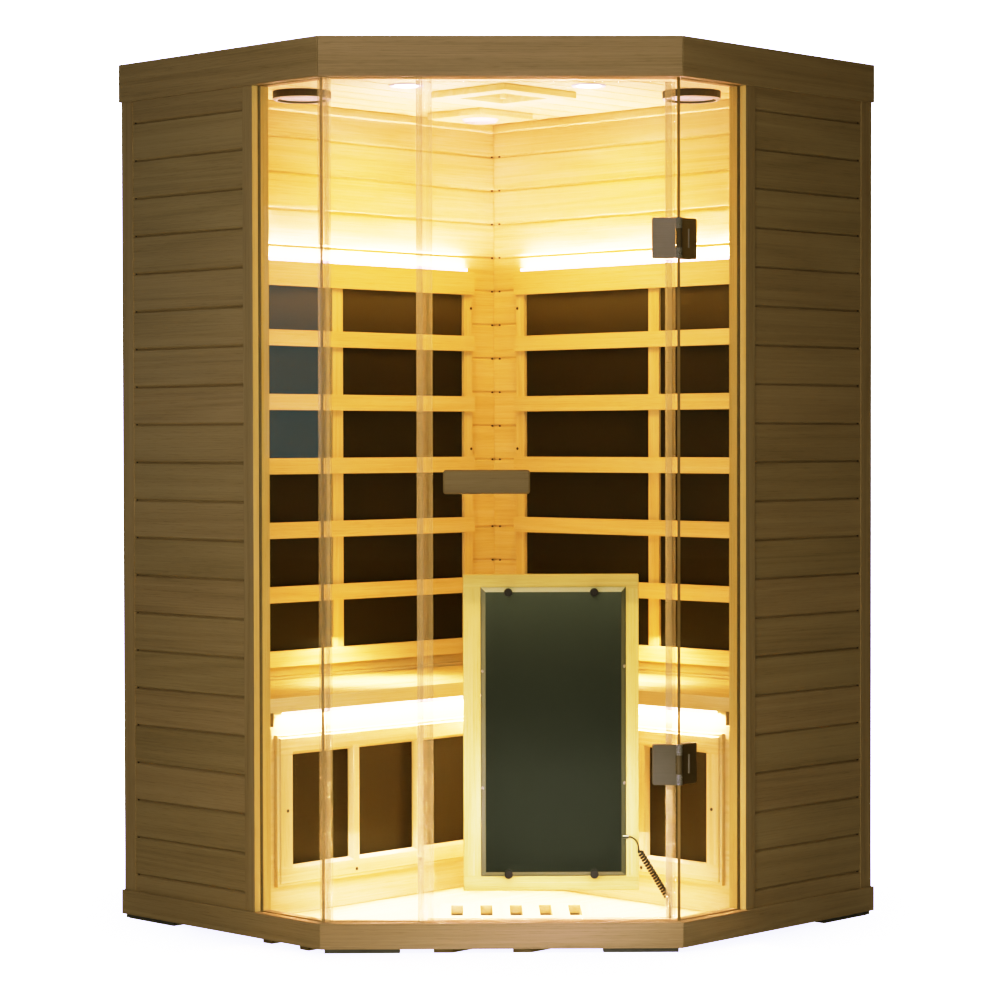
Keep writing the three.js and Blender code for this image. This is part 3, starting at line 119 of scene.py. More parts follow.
@dataclass(frozen=True)
class WallLine:
    """A wall's outer line on the floor plan: where it starts, its run, and the way inward."""

    start: Pair
    along: Pair
    inward: Pair

    def at(self, along: float, inward: float, up: float) -> Vector:
        """A place on the wall.

        Args:
            along: distance from the wall's start.
            inward: distance inward from its outer face.
            up: height over the floor.

        Returns:
            The place in the row frame.
        """
        x = self.start[0] + along * self.along[0] + inward * self.inward[0]
        y = self.start[1] + along * self.along[1] + inward * self.inward[1]
        return Vector((x, y, up))

    def seat(self, along: float, inward: float, up: float, facing: Point = (0, 1, 0)) -> Matrix:
        """Axes for a fitting on the wall, with X along the wall and Z the way that it faces.

        Args:
            along: distance from the wall's start.
            inward: distance inward from its outer face.
            up: height over the floor.
            facing: the fitting's outward direction as shares of along, inward and up.

        Returns:
            The fitting's matrix in the row frame.
        """
        run = Vector((*self.along, 0))
        deep = Vector((*self.inward, 0))
        out = (run * facing[0] + deep * facing[1] + Vector((0, 0, facing[2]))).normalized()
        return axes_at(self.at(along, inward, up), run, out)


def axes_at(place: Vector, run: Vector, out: Vector) -> Matrix:
    """Axes at a place, with X along a run and Z outward.

    Args:
        place: the origin.
        run: the direction of X.
        out: the direction of Z, square to the run.

    Returns:
        The matrix.
    """
    across = out.cross(run).normalized()
    matrix = Matrix((run.normalized(), across, out)).transposed().to_4x4()
    matrix.translation = place
    return matrix


def rear_wall(side: Side) -> WallLine:
    """The rear wall of one side, from the back corner outward."""
    run = side.value * DIAGONAL
    return WallLine((0, BACK_CORNER_Y), (run, -DIAGONAL), (-run, -DIAGONAL))


def side_wall(side: Side) -> WallLine:
    """The side wall of one side, from its rear corner to the glazed front."""
    x, y, run = -side.value * LEFT_CORNER[0], LEFT_CORNER[1], -side.value * DIAGONAL
    return WallLine((x, y), (run, -DIAGONAL), (run, DIAGONAL))


def plan_point(x_mm: float, y_mm: float, z_mm: float) -> Vector:
    """A place given in millimetres from the middle of the front face, in the row frame."""
    return Vector((x_mm / 1000, y_mm / 1000 + FRONT_FACE_Y, z_mm / 1000))


class Graph:
    """One material's node tree, built up node by node."""

    def __init__(self, name: str) -> None:
        """Starts an empty tree.

        Args:
            name: the material's name.
        """
        self.material = bpy.data.materials.new(name)
        self.material.use_nodes = True
        self.tree = self.material.node_tree
        self.tree.nodes.clear()

    def node(self, kind: str, inputs: dict | None = None, **settings: Any) -> bpy.types.Node:
        """Adds a node.

        Args:
            kind: the node's Blender type.
            inputs: values or sockets by input name or number.
            settings: the node's own options.

        Returns:
            The node.
        """
        made = self.tree.nodes.new(kind)
        for option, value in settings.items():
            setattr(made, option, value)
        for key, value in (inputs or {}).items():
            if isinstance(value, Socket):
                self.tree.links.new(value, made.inputs[key])
            else:
                made.inputs[key].default_value = value
        return made

    def math(self, operation: str, *values: Any) -> Socket:
        """Adds a Math node over sockets or numbers and returns its result."""
        return self.node("ShaderNodeMath", dict(enumerate(values)), operation=operation).outputs[0]

    def place(self) -> Socket:
        """The point on the piece, in the row frame."""
        return self.node("ShaderNodeTexCoord").outputs["Object"]

    def turned(self, degrees: float, shift: float = 0.0) -> Socket:
        """The point on the piece, turned about Z and then moved along X."""
        inputs = {"Vector": self.place(), "Rotation": (0, 0, math.radians(degrees)), "Location": (shift, 0, 0)}
        return self.node("ShaderNodeMapping", inputs).outputs[0]

    def risen(self, heights: Pair, power: float) -> Socket:
        """How far the point has risen between two heights, as a share raised to a power."""
        height = self.node("ShaderNodeSeparateXYZ", {0: self.place()}).outputs[2]
        return self.math("POWER", self.ranged(height, 0.0, 1.0, *heights), power)

    def summed(self, *parts: tuple[Socket, float]) -> Socket:
        """Adds values up.

        Args:
            parts: each value with its weight.

        Returns:
            The weighted sum.
        """
        total, *others = [self.math("MULTIPLY", value, weight) for value, weight in parts]
        for term in others:
            total = self.math("ADD", total, term)
        return total

    def noise(
        self, point: Socket, scale: Point, detail: float = 2.0, rough: float = 0.5, twist: float = 0.0
    ) -> Socket:
        """Adds cloudy noise.

        Args:
            point: the point on the piece.
            scale: how fine the noise is on each axis.
            detail: number of finer layers.
            rough: strength of the finer layers.
            twist: how far the noise bends itself.

        Returns:
            A value about 0.5.
        """
        fine = self.node("ShaderNodeVectorMath", {0: point, 1: scale}, operation="MULTIPLY").outputs[0]
        inputs = {"Vector": fine, "Scale": 1.0, "Detail": detail, "Roughness": rough, "Distortion": twist}
        return self.node("ShaderNodeTexNoise", inputs).outputs[0]

    def mixed(self, share: Any, first: Any, second: Any) -> Socket:
        """A colour between two colours."""
        node = self.node("ShaderNodeMix", {0: share, 6: first, 7: second}, data_type="RGBA")
        return node.outputs[2]

    def ramp(self, value: Any, stops: Sequence[tuple[float, Colour]]) -> Socket:
        """A colour ramp.

        Args:
            value: what is looked up.
            stops: places and colours in rising order.

        Returns:
            The colour.
        """
        node = self.node("ShaderNodeValToRGB", {0: value})
        elements = node.color_ramp.elements
        while len(elements) < len(stops):
            elements.new(0.5)
        for element, (place, colour) in zip(elements, stops):
            element.position = place
            element.color = colour
        return node.outputs[0]

    def ranged(self, value: Any, low: float, high: float, start: float = 0.0, end: float = 1.0) -> Socket:
        """A value moved from one range to another and kept inside it."""
        inputs = {0: value, 1: start, 2: end, 3: low, 4: high}
        return self.node("ShaderNodeMapRange", inputs).outputs[0]

    def bump(self, height: Any, strength: float, distance: float) -> Socket:
        """A normal pushed about by a height."""
        inputs = {"Height": height, "Strength": strength, "Distance": distance}
        return self.node("ShaderNodeBump", inputs).outputs[0]

    def sheen(self, index: float) -> Socket:
        """The share of light that a clear surface of a refractive index throws back, from either side."""
        inner = self.node("ShaderNodeNewGeometry").outputs["Backfacing"]
        return self.node("ShaderNodeFresnel", {"IOR": self.ranged(inner, index, 1 / index)}).outputs[0]

    def shaded(self, kind: str, **inputs: Any) -> Socket:
        """Adds a shader and returns its result."""
        return self.node(f"ShaderNode{kind}", inputs).outputs[0]

    def blended(self, share: Any, first: Socket, second: Socket) -> Socket:
        """A shader between two shaders."""
        return self.node("ShaderNodeMixShader", {0: share, 1: first, 2: second}).outputs[0]

    def surface(self, inputs: dict) -> Material:
        """Ends the tree in a principled surface and returns the material."""
        return self.output(self.node("ShaderNodeBsdfPrincipled", inputs).outputs[0])

    def output(self, shader: Any) -> Material:
        """Ends the tree in a shader and returns the material."""
        self.node("ShaderNodeOutputMaterial", {"Surface": shader})
        return self.material


class Finish:
    """A finish whose material is made once and shared."""

    name: str
    made: dict[str, Material] = {}

    def material(self) -> Material:
        """The finish's material, made at its first use.

        Returns:
            The material.
        """
        if self.name not in Finish.made:
            Finish.made[self.name] = self.mix()
        return Finish.made[self.name]

    def mix(self) -> Material:
        """Makes the material."""
        raise NotImplementedError


class Grain(Enum):
    """How the timber of a piece runs."""

    LEVEL = "level"
    UPRIGHT = "upright"
    POSTS = "level boards between upright posts"
    SLATS = "level slats over upright stiles"
    FRAME = "upright stiles between level rails"


@dataclass(frozen=True)
class Timber:
    """A kind of timber, from its late wood to its pale early wood."""

    name: str
    dark: Colour
    middle: Colour
    pale: Colour
    uneven: float

    def finish(self, name: str, turn: float = 0.0, **more: Any) -> "TimberFinish":
        """A finish in this timber.

        Args:
            name: the finish's name, after the timber's.
            turn: angle that brings the piece's run onto X, in degrees.
            more: other fields of the finish.

        Returns:
            The finish.
        """
        return TimberFinish(f"{self.name}_{name}", self, turn, **more)


OUTER_TIMBER = Timber(
    "oiled_hemlock", (0.174, 0.111, 0.050, 1), (0.255, 0.169, 0.081, 1), (0.318, 0.220, 0.112, 1), 0.05
)
HANDLE_TIMBER = Timber(
    "dark_hemlock", (0.095, 0.058, 0.023, 1), (0.136, 0.086, 0.034, 1), (0.17, 0.114, 0.050, 1), 0.05
)
INNER_TIMBER = Timber(
    "bare_hemlock", (0.58, 0.39, 0.13, 1), (0.73, 0.54, 0.22, 1), (0.80, 0.63, 0.31, 1), 0.04
)
# A timber tone between the oiled outside and the bare lining, used on the end face of the side walls' front posts.
POST_END_TIMBER = Timber(
    "aged_hemlock", (0.44, 0.285, 0.075, 1), (0.55, 0.40, 0.13, 1), (0.61, 0.47, 0.18, 1), 0.04
)
FRAME_TIMBER = Timber(
    "frame_hemlock", (0.58, 0.38, 0.086, 1), (0.73, 0.525, 0.138, 1), (0.80, 0.615, 0.20, 1), 0.04
)


@dataclass(frozen=True)
class TimberFinish(Finish):
    """Sawn and sanded timber with its grain along the piece.

    Attributes:
        name: the material's name.
        timber: its colours.
        turn: angle that brings the piece's run onto X, in degrees.
        grain: how the timber runs.
        span: limits of the level or upright part, along or up as the grain needs.
        shift: moves the start of the run to zero.
        pitch: height of one board, or 0 where the piece is one board.
        seam: height of a joint between two boards.
    """

    name: str
    timber: Timber
    turn: float = 0.0
    grain: Grain = Grain.LEVEL
    span: Pair = (0.0, 0.0)
    shift: float = 0.0
    pitch: float = 0.0
    seam: float = 0.0

    def standing(self, graph: Graph, along: Any, up: Any) -> Any:
        """Where the grain stands upright.

        Args:
            graph: the tree.
            along: distance along the piece.
            up: height.

        Returns:
            1 where the grain is upright and 0 where it is level.
        """
        low, high = self.span
        if self.grain in (Grain.POSTS, Grain.FRAME):
            where = along if self.grain is Grain.POSTS else up
            past, short = graph.math("GREATER_THAN", where, low), graph.math("LESS_THAN", where, high)
            inside = graph.math("MULTIPLY", past, short)
            return graph.math("SUBTRACT", 1.0, inside) if self.grain is Grain.POSTS else inside
        if self.grain is Grain.SLATS:
            row = graph.math("WRAP", graph.math("SUBTRACT", up, low), high, 0.0)
            top = graph.math("LESS_THAN", up, low + SLAT_ROWS * high)
            return graph.math("MULTIPLY", graph.math("GREATER_THAN", row, SLAT_WIDTH), top)
        return 1.0 if self.grain is Grain.UPRIGHT else 0.0

    def fibres(self, graph: Graph) -> tuple[Any, Any]:
        """The point on the piece in the grain's own axes, moved about from board to board.

        Args:
            graph: the tree.

        Returns:
            The point, with X along the fibres, and a random value for each board.
        """
        level = graph.turned(self.turn, self.shift)
        parts = graph.node("ShaderNodeSeparateXYZ", {0: level}).outputs
        upright = graph.node("ShaderNodeCombineXYZ", {0: parts[2], 1: parts[1], 2: parts[0]}).outputs[0]
        standing = self.standing(graph, parts[0], parts[2])
        run = graph.node("ShaderNodeMix", {0: standing, 4: level, 5: upright}, data_type="VECTOR").outputs[1]
        row = 0.0
        if self.pitch:
            row = graph.math("FLOOR", graph.math("DIVIDE", graph.math("SUBTRACT", parts[2], self.seam), self.pitch))
        post = graph.math("FLOOR", graph.math("MULTIPLY", parts[0], 9.0))
        stave = graph.math("MULTIPLY", graph.math("ADD", post, 50.0), standing)
        board = graph.math("ADD", graph.math("MULTIPLY", row, graph.math("SUBTRACT", 1.0, standing)), stave)
        chance = graph.node("ShaderNodeTexWhiteNoise", {"W": board}, noise_dimensions="1D").outputs
        inputs = {0: chance[1], 1: (5.0, 0.6, 0.9), 2: run}
        moved = graph.node("ShaderNodeVectorMath", inputs, operation="MULTIPLY_ADD").outputs[0]
        return moved, chance[0]

    def mix(self) -> Material:
        """Makes the material.

        Returns:
            The material.
        """
        graph = Graph(self.name)
        point, chance = self.fibres(graph)
        figure = graph.noise(point, (0.45, 11, 11), 1.0, 0.4, 0.25)
        rings = graph.math("PINGPONG", graph.math("MULTIPLY", figure, 17.0), 1.0)
        streaks = graph.noise(point, (3, 330, 330), 3.0, 0.6)
        pores = graph.noise(point, (22, 1100, 1100), 2.0, 0.6)
        cloud = graph.noise(point, (0.9, 5, 5))
        pits = graph.ranged(pores, 0.0, 0.3, 0.56, 0.72)
        tone = graph.summed((rings, 0.17), (streaks, 0.62), (cloud, 0.40), (pits, -0.9))
        kind = self.timber
        wood = graph.ramp(tone, [(0.28, kind.dark), (0.56, kind.middle), (0.82, kind.pale)])
        light = graph.ranged(chance, 1 - kind.uneven, 1 + kind.uneven)
        hue = graph.ranged(chance, 0.503, 0.497)
        inputs = {"Hue": hue, "Saturation": 1.0, "Value": light, "Color": wood}
        wood = graph.node("ShaderNodeHueSaturation", inputs).outputs[0]
        height = graph.summed((streaks, 0.7), (pores, 0.5))
        return graph.surface({
            "Base Color": wood,
            "Roughness": graph.ranged(streaks, 0.46, 0.68, 0.3, 0.7),
            "Specular IOR Level": 0.35,
            "Normal": graph.bump(height, 0.35, 0.0007),
        })


@dataclass(frozen=True)
class PaneFinish(Finish):
    """Clear toughened glass, with a trace of wiping marks in its gloss."""

    name: str = "toughened_glass"
    tint: Colour = (0.965, 0.985, 0.972, 1)
    index: float = 1.45

    def mix(self) -> Material:
        """Makes the material.

        Returns:
            The material.
        """
        graph = Graph(self.name)
        smear = graph.noise(graph.place(), (3, 3, 9), 4.0, 0.6)
        gloss = graph.shaded("BsdfGlossy", Roughness=graph.ranged(smear, 0.0, 0.05, 0.4, 0.8))
        clear = graph.shaded("BsdfTransparent", Color=self.tint)
        return graph.output(graph.blended(graph.sheen(self.index), clear, gloss))


@dataclass(frozen=True)
class ClearStripFinish(Finish):
    """Clear soft plastic: the seals on the glass edges, a little milky."""

    name: str = "clear_strip_plastic"
    body: Colour = (0.89, 0.80, 0.50, 1)
    tint: Colour = (0.98, 0.98, 0.975, 1)
    milk: float = 0.19
    streak: float = 0.08
    index: float = 1.4

    def mix(self) -> Material:
        """Makes the material.

        Returns:
            The material.
        """
        graph = Graph(self.name)
        waver = graph.noise(graph.place(), (150, 150, 0.5))
        inside = graph.shaded("BsdfTranslucent", Color=self.body)
        skin = graph.shaded("BsdfDiffuse", Color=self.body)
        milky = graph.blended(0.32, inside, skin)
        clear = graph.shaded("BsdfTransparent", Color=self.tint)
        share = graph.ranged(waver, self.milk - self.streak, self.milk + self.streak, 0.3, 0.7)
        soft = graph.blended(share, clear, milky)
        gloss = graph.shaded("BsdfGlossy", Roughness=0.2)
        return graph.output(graph.blended(graph.sheen(self.index), soft, gloss))


@dataclass(frozen=True)
class MetalFinish(Finish):
    """Metal with fine brushing along one axis.

    Attributes:
        name: the material's name.
        colour: its colour.
        shine: least and most roughness.
        brush: how fine the brushing is on each axis.
        metallic: 1 for bare metal, less under a coat.
    """

    name: str
    colour: Colour
    shine: Pair = (0.25, 0.45)
    brush: Point = (8, 8, 900)
    metallic: float = 1.0

    def mix(self) -> Material:
        """Makes the material.

        Returns:
            The material.
        """
        graph = Graph(self.name)
        point = graph.place()
        lines = graph.noise(point, self.brush, 3.0, 0.6)
        cloud = graph.noise(point, (14, 14, 14), 3.0)
        dark = tuple(0.72 * c for c in self.colour[:3]) + (1,)
        shade = graph.summed((lines, 0.6), (cloud, 0.5))
        return graph.surface({
            "Base Color": graph.ramp(shade, [(0.3, dark), (0.75, self.colour)]),
            "Metallic": self.metallic,
            "Roughness": graph.ranged(shade, *self.shine, 0.3, 0.8),
            "Normal": graph.bump(lines, 0.12, 0.0002),
        })


@dataclass(frozen=True)
class HeaterFinish(Finish):
    """A heating panel: dark laminate with a faint woven carbon core.

    Attributes:
        name: the material's name.
        colour: the laminate's colour.
        thread: the woven core's colour.
        turn: angle that brings the panel's run onto X, in degrees.
        paler: heights between which the laminate grows paler, a painted light as if leaking down from the light strip
            above.
        pale: the painted light's colour at the upper one.
    """

    name: str
    colour: Colour
    thread: Colour
    turn: float = 0.0
    paler: Pair = NEVER_PALER
    pale: Colour = (0.055, 0.042, 0.018, 1)

    def mix(self) -> Material:
        """Makes the material.

        Returns:
            The material.
        """
        graph = Graph(self.name)
        point = graph.turned(self.turn)
        across = graph.noise(point, (900, 900, 40))
        up = graph.noise(point, (40, 40, 900))
        weave = graph.math("ADD", across, up)
        cloud = graph.noise(point, (5, 5, 5), 4.0, 0.6)
        shade = graph.summed((weave, 0.3), (cloud, 0.5))
        dark = graph.ramp(shade, [(0.3, self.colour), (0.8, self.thread)])
        return graph.surface({
            # Painted light: the laminate grows paler towards the top of the panel.
            "Base Color": graph.mixed(graph.risen(self.paler, 2.0), dark, self.pale),
            "Roughness": graph.ranged(cloud, 0.5, 0.62, 0.3, 0.7),
            "Specular IOR Level": 0.13,
            "Normal": graph.bump(weave, 0.08, 0.0002),
        })


@dataclass(frozen=True)
class MouldedFinish(Finish):
    """Moulded plastic, rubber or paint with a fine pebbled skin.

    Attributes:
        name: the material's name.
        colour: its colour.
        worn: the colour where it is a little rubbed.
        roughness: its mean roughness.
        pebble: how fine the skin is.
        coat: weight of a clear coat.
        skin: how deep the skin is.
        paler: heights between which it grows paler, a painted light from above.
        pale: the painted light's colour at the upper one.
    """

    name: str
    colour: Colour
    worn: Colour
    roughness: float = 0.45
    pebble: float = 700.0
    coat: float = 0.0
    skin: float = 0.08
    paler: Pair = NEVER_PALER
    pale: Colour = (0.075, 0.080, 0.058, 1)

    def mix(self) -> Material:
        """Makes the material.

        Returns:
            The material.
        """
        graph = Graph(self.name)
        point = graph.place()
        skin = graph.noise(point, (self.pebble,) * 3, 2.0, 0.6)
        rubbed = graph.noise(point, (9, 9, 9), 5.0, 0.62)
        body = graph.mixed(graph.ranged(rubbed, 0.0, 1.0, 0.42, 0.78), self.colour, self.worn)
        return graph.surface({
            # Painted light: the colour grows paler towards the upper height.
            "Base Color": graph.mixed(graph.risen(self.paler, 6.0), body, self.pale),
            "Roughness": graph.ranged(rubbed, self.roughness - 0.07, self.roughness + 0.1, 0.3, 0.7),
            "Coat Weight": self.coat,
            "Coat Roughness": 0.2,
            "Specular IOR Level": 0.35,
            "Normal": graph.bump(skin, self.skin, 0.0001),
        })


@dataclass(frozen=True)
class GlowFinish(Finish):
    """A lit diffuser over a row of small lamps.

    Attributes:
        name: the material's name.
        colour: the light's colour.
        strength: how bright it is.
        spacing: distance between the lamps behind it.
        turn: angle that brings the strip's run onto X, in degrees.
    """

    name: str
    colour: Colour
    strength: float
    spacing: float = 0.0167
    turn: float = 0.0

    def mix(self) -> Material:
        """Makes the material.

        Returns:
            The material.
        """
        graph = Graph(self.name)
        point = graph.turned(self.turn)
        scale = math.pi / (10 * self.spacing)
        lamps = graph.node("ShaderNodeTexWave", {"Vector": point, "Scale": scale}).outputs[1]
        power = graph.ranged(lamps, 0.75 * self.strength, 1.25 * self.strength)
        return graph.output(graph.shaded("Emission", Color=self.colour, Strength=power))


SEAT_LIGHT: Colour = (1.0, 0.60, 0.32, 1)
BACK_LIGHT: Colour = (1.0, 0.60, 0.455, 1)

GLASS = PaneFinish()
GLASS_EDGE = MouldedFinish("glass_edge", (0.115, 0.075, 0.028, 1), (0.17, 0.12, 0.05, 1), 0.15, 200.0, 0.5)
CLEAR_STRIP = ClearStripFinish()
BRONZE = MetalFinish("brushed_bronze", (0.38, 0.31, 0.26, 1), (0.32, 0.5), metallic=0.5)
# The lower hinge's bronzes are darker copies of the upper ones: painted shade.
SHADED_LOWER_BRONZE = MetalFinish("lower_bronze", (0.137, 0.113, 0.088, 1), (0.32, 0.5), metallic=0.5)
DARK_BRONZE = MetalFinish("dark_bronze", (0.26, 0.153, 0.052, 1), (0.32, 0.5), metallic=0.5)
SHADED_LOWER_DARK_BRONZE = MetalFinish("lower_dark_bronze", (0.10, 0.062, 0.022, 1), (0.32, 0.5), metallic=0.5)
EAR_STEEL = MetalFinish("ear_steel", (0.30, 0.27, 0.235, 1), (0.2, 0.38), (300, 300, 300), 0.6)
KNUCKLE_BRONZE = MetalFinish("knuckle_bronze", (0.09, 0.06, 0.03, 1), (0.35, 0.5), metallic=0.3)
BRACKET_STEEL = MetalFinish("bracket_steel", (0.42, 0.33, 0.16, 1), (0.35, 0.5), (200, 200, 200), 0.4)
BRIGHT_STEEL = MetalFinish("bright_steel", (0.66, 0.62, 0.56, 1), (0.2, 0.38), (300, 300, 300), 0.6)
# The tray's paint grows paler towards its top: painted light from the lamps above.
TRAY_PAINT = MouldedFinish(
    "tray_paint", (0.0112, 0.0126, 0.0103, 1), (0.0132, 0.0146, 0.0118, 1), 0.62, 300.0, skin=0.0, paler=(0.10, 0.76)
)
# The tray's splayed folds are the same paint as its face. Their lighter copies are painted light: sheen on every fold,
# bright light from above on the top fold, and dimmer light on the left and bottom folds.
TRAY_FOLD_SHEEN = MouldedFinish("tray_fold_paint", (0.085, 0.094, 0.075, 1), (0.10, 0.11, 0.09, 1), 0.4, 300.0, skin=0.02)
TRAY_TOP_FOLD_LIT = MouldedFinish(
    "tray_top_fold_paint", (0.72, 0.72, 0.38, 1), (0.80, 0.79, 0.43, 1), 0.3, 300.0, skin=0.02
)
TRAY_LOW_FOLD_LIT = MouldedFinish(
    "tray_low_fold_paint", (0.19, 0.19, 0.14, 1), (0.23, 0.22, 0.17, 1), 0.35, 300.0, skin=0.02
)
BOX_PAINT = MetalFinish("zinc_sheet", (0.50, 0.51, 0.52, 1), (0.35, 0.55), (60, 60, 60), 0.25)
SPEAKER_PLASTIC = MouldedFinish("speaker_plastic", (0.010, 0.009, 0.008, 1), (0.018, 0.015, 0.013, 1), 0.5)
GRILLE_PLASTIC = MouldedFinish("speaker_grille", (0.55, 0.52, 0.46, 1), (0.48, 0.45, 0.39, 1), 0.5)
CAP_PLASTIC = MouldedFinish("cap_plastic", (0.016, 0.012, 0.014, 1), (0.03, 0.025, 0.027, 1), 0.32)
LEAD_RUBBER = MouldedFinish("lead_rubber", (0.010, 0.010, 0.011, 1), (0.022, 0.021, 0.022, 1), 0.4)
FOOT_PLASTIC = MouldedFinish("foot_plastic", (0.05, 0.05, 0.05, 1), (0.075, 0.075, 0.073, 1), 0.6)
TRIM_WHITE = MouldedFinish("trim_enamel", (0.78, 0.77, 0.74, 1), (0.70, 0.69, 0.66, 1), 0.35)
DARK_STEEL = MetalFinish("dark_steel", (0.09, 0.075, 0.06, 1), (0.35, 0.5), (200, 200, 200))
LENS_GLOW = GlowFinish("lens_glow", BACK_LIGHT, 40.0, 0.004)
LAMP_GLASS = MouldedFinish("lamp_glass", (0.86, 0.84, 0.78, 1), (0.80, 0.78, 0.72, 1), 0.25, 300.0, 0.3)


def faces_up(face: bpy.types.MeshPolygon) -> bool:
    """Says whether a face looks up along Z."""
    return face.normal.z > 0.9


def select_only(thing: Thing) -> None:
    """Selects one object and makes it the active one.

    Args:
        thing: the object.
    """
    bpy.ops.object.select_all(action="DESELECT")
    thing.select_set(True)
    bpy.context.view_layer.objects.active = thing


def fill_slots(thing: Thing, finishes: Sequence[Finish]) -> None:
    """Fills an object's material slots and keeps each face's slot number.

    Args:
        thing: the object.
        finishes: one finish for each slot.
    """
    kept = [face.material_index for face in thing.data.polygons]
    thing.data.materials.clear()
    for finish in finishes:
        thing.data.materials.append(finish.material())
    for face, slot in zip(thing.data.polygons, kept):
        face.material_index = min(slot, len(finishes) - 1)


def paint_faces(thing: Thing, slot: int, test: FaceTest) -> None:
    """Puts some faces in a material slot.

    Args:
        thing: the object.
        slot: the slot's number.
        test: says whether a face goes there.
    """
    for face in thing.data.polygons:
        if test(face):
            face.material_index = slot


class Workpiece:
    """One mesh piece, shaped with Blender's own operators."""

    def __init__(self, thing: Thing, name: str) -> None:
        """Takes hold of an object.

        Args:
            thing: the mesh object.
            name: the piece's name.
        """
        self.thing = thing
        thing.name = name
        thing.data.name = name

    @classmethod
    def block(cls, name: str, size: Point, centre: Point = (0, 0, 0)) -> "Workpiece":
        """Starts from a block.

        Args:
            name: the piece's name.
            size: its lengths.
            centre: its middle.

        Returns:
            The piece.
        """
        bpy.ops.object.select_all(action="DESELECT")
        bpy.ops.mesh.primitive_cube_add(size=1.0, location=centre)
        thing = bpy.context.object
        thing.scale = size
        bpy.ops.object.transform_apply(location=True, rotation=True, scale=True)
        return cls(thing, name)

    @classmethod
    def rod(cls, name: str, radius: float, low: float, high: float, sides: int = 32) -> "Workpiece":
        """Starts from a round rod standing on Z.

        Args:
            name: the piece's name.
            radius: its radius.
            low: height of its lower end.
            high: height of its upper end.
            sides: number of sides.

        Returns:
            The piece.
        """
        bpy.ops.object.select_all(action="DESELECT")
        place = (0, 0, (low + high) / 2)
        bpy.ops.mesh.primitive_cylinder_add(vertices=sides, radius=radius, depth=high - low, location=place)
        thing = bpy.context.object
        bpy.ops.object.transform_apply(location=True, rotation=True, scale=True)
        return cls(thing, name)

    @classmethod
    def from_node(cls, node: str, name: str) -> "Workpiece":
        """Starts from a copy of a CAD node, with its loose triangles merged.

        Args:
            node: the CAD node.
            name: the piece's name.

        Returns:
            The piece.
        """
        source = frame["nodes"][node]
        thing = bpy.data.objects.new(name, source.data.copy())
        for face in thing.data.polygons:
            face.material_index = 0
        bpy.context.scene.collection.objects.link(thing)
        piece = cls(thing, name)
        return piece.operate(lambda: bpy.ops.mesh.remove_doubles(threshold=2e-6), everything=True)

    def pick(self, test: FaceTest) -> "Workpiece":
        """Selects faces by their place or normal.

        Args:
            test: says whether a face is wanted.

        Returns:
            The piece.
        """
        self.operate(lambda: bpy.ops.mesh.select_all(action="DESELECT"))
        for face in self.thing.data.polygons:
            face.select = test(face)
        return self

    def operate(self, work: Callable[[], Any], everything: bool = False) -> "Workpiece":
        """Runs an edit-mode operator on the picked faces.

        Args:
            work: calls the operator.
            everything: picks the whole mesh first.

        Returns:
            The piece.
        """
        select_only(self.thing)
        bpy.ops.object.mode_set(mode="EDIT")
        bpy.ops.mesh.select_mode(type="FACE")
        if everything:
            bpy.ops.mesh.select_all(action="SELECT")
        work()
        bpy.ops.object.mode_set(mode="OBJECT")
        return self

    def inset(self, thickness: float, depth: float = 0.0) -> "Workpiece":
        """Insets the picked faces, sinking or raising them by a depth."""
        return self.operate(lambda: bpy.ops.mesh.inset(thickness=thickness, depth=depth))

    def extrude(self, by: Point) -> "Workpiece":
        """Extrudes the picked faces by a vector."""
        move = {"value": by}
        return self.operate(lambda: bpy.ops.mesh.extrude_region_move(TRANSFORM_OT_translate=move))

    def round_picked(self, width: float, segments: int) -> "Workpiece":
        """Rounds the edges of the picked faces."""
        shape = {"offset_type": "OFFSET", "segments": segments, "affect": "EDGES"}
        return self.operate(lambda: bpy.ops.mesh.bevel(offset=width, **shape))

    def ease(self, width: float, segments: int = 2, angle: float = 22.0, slot: int = -1) -> "Workpiece":
        """Rounds every sharp edge with a bevel and shades the piece smoothly.

        Args:
            width: the bevel's width.
            segments: its number of steps.
            angle: edges sharper than this are eased, in degrees.
            slot: material slot of the rounded edges, or -1 for their neighbours' slot.

        Returns:
            The piece.
        """
        select_only(self.thing)
        bpy.ops.object.shade_smooth()
        self.modify(
            "BEVEL", width=width, segments=segments, limit_method="ANGLE", angle_limit=math.radians(angle),
            harden_normals=True, material=slot,
        )
        return self.modify("WEIGHTED_NORMAL", weight=100)

    def modify(self, kind: str, **settings: Any) -> "Workpiece":
        """Applies a modifier.

        Args:
            kind: the modifier's Blender type.
            settings: its options.

        Returns:
            The piece.
        """
        select_only(self.thing)
        modifier = self.thing.modifiers.new(kind.lower(), kind)
        for option, value in settings.items():
            setattr(modifier, option, value)
        bpy.ops.object.modifier_apply(modifier=modifier.name)
        return self

    def cut(self, tool: "Workpiece") -> "Workpiece":
        """Cuts a tool's shape out of the piece and removes the tool.

        Args:
            tool: the shape to cut away.

        Returns:
            The piece.
        """
        self.modify("BOOLEAN", operation="DIFFERENCE", solver="EXACT", object=tool.thing)
        tool.discard()
        return self

    def smooth(self, angle: float = 35.0) -> "Workpiece":
        """Shades the piece smoothly except across sharp edges.

        Args:
            angle: edges sharper than this stay sharp, in degrees.

        Returns:
            The piece.
        """
        select_only(self.thing)
        bpy.ops.object.shade_smooth_by_angle(angle=math.radians(angle))
        return self

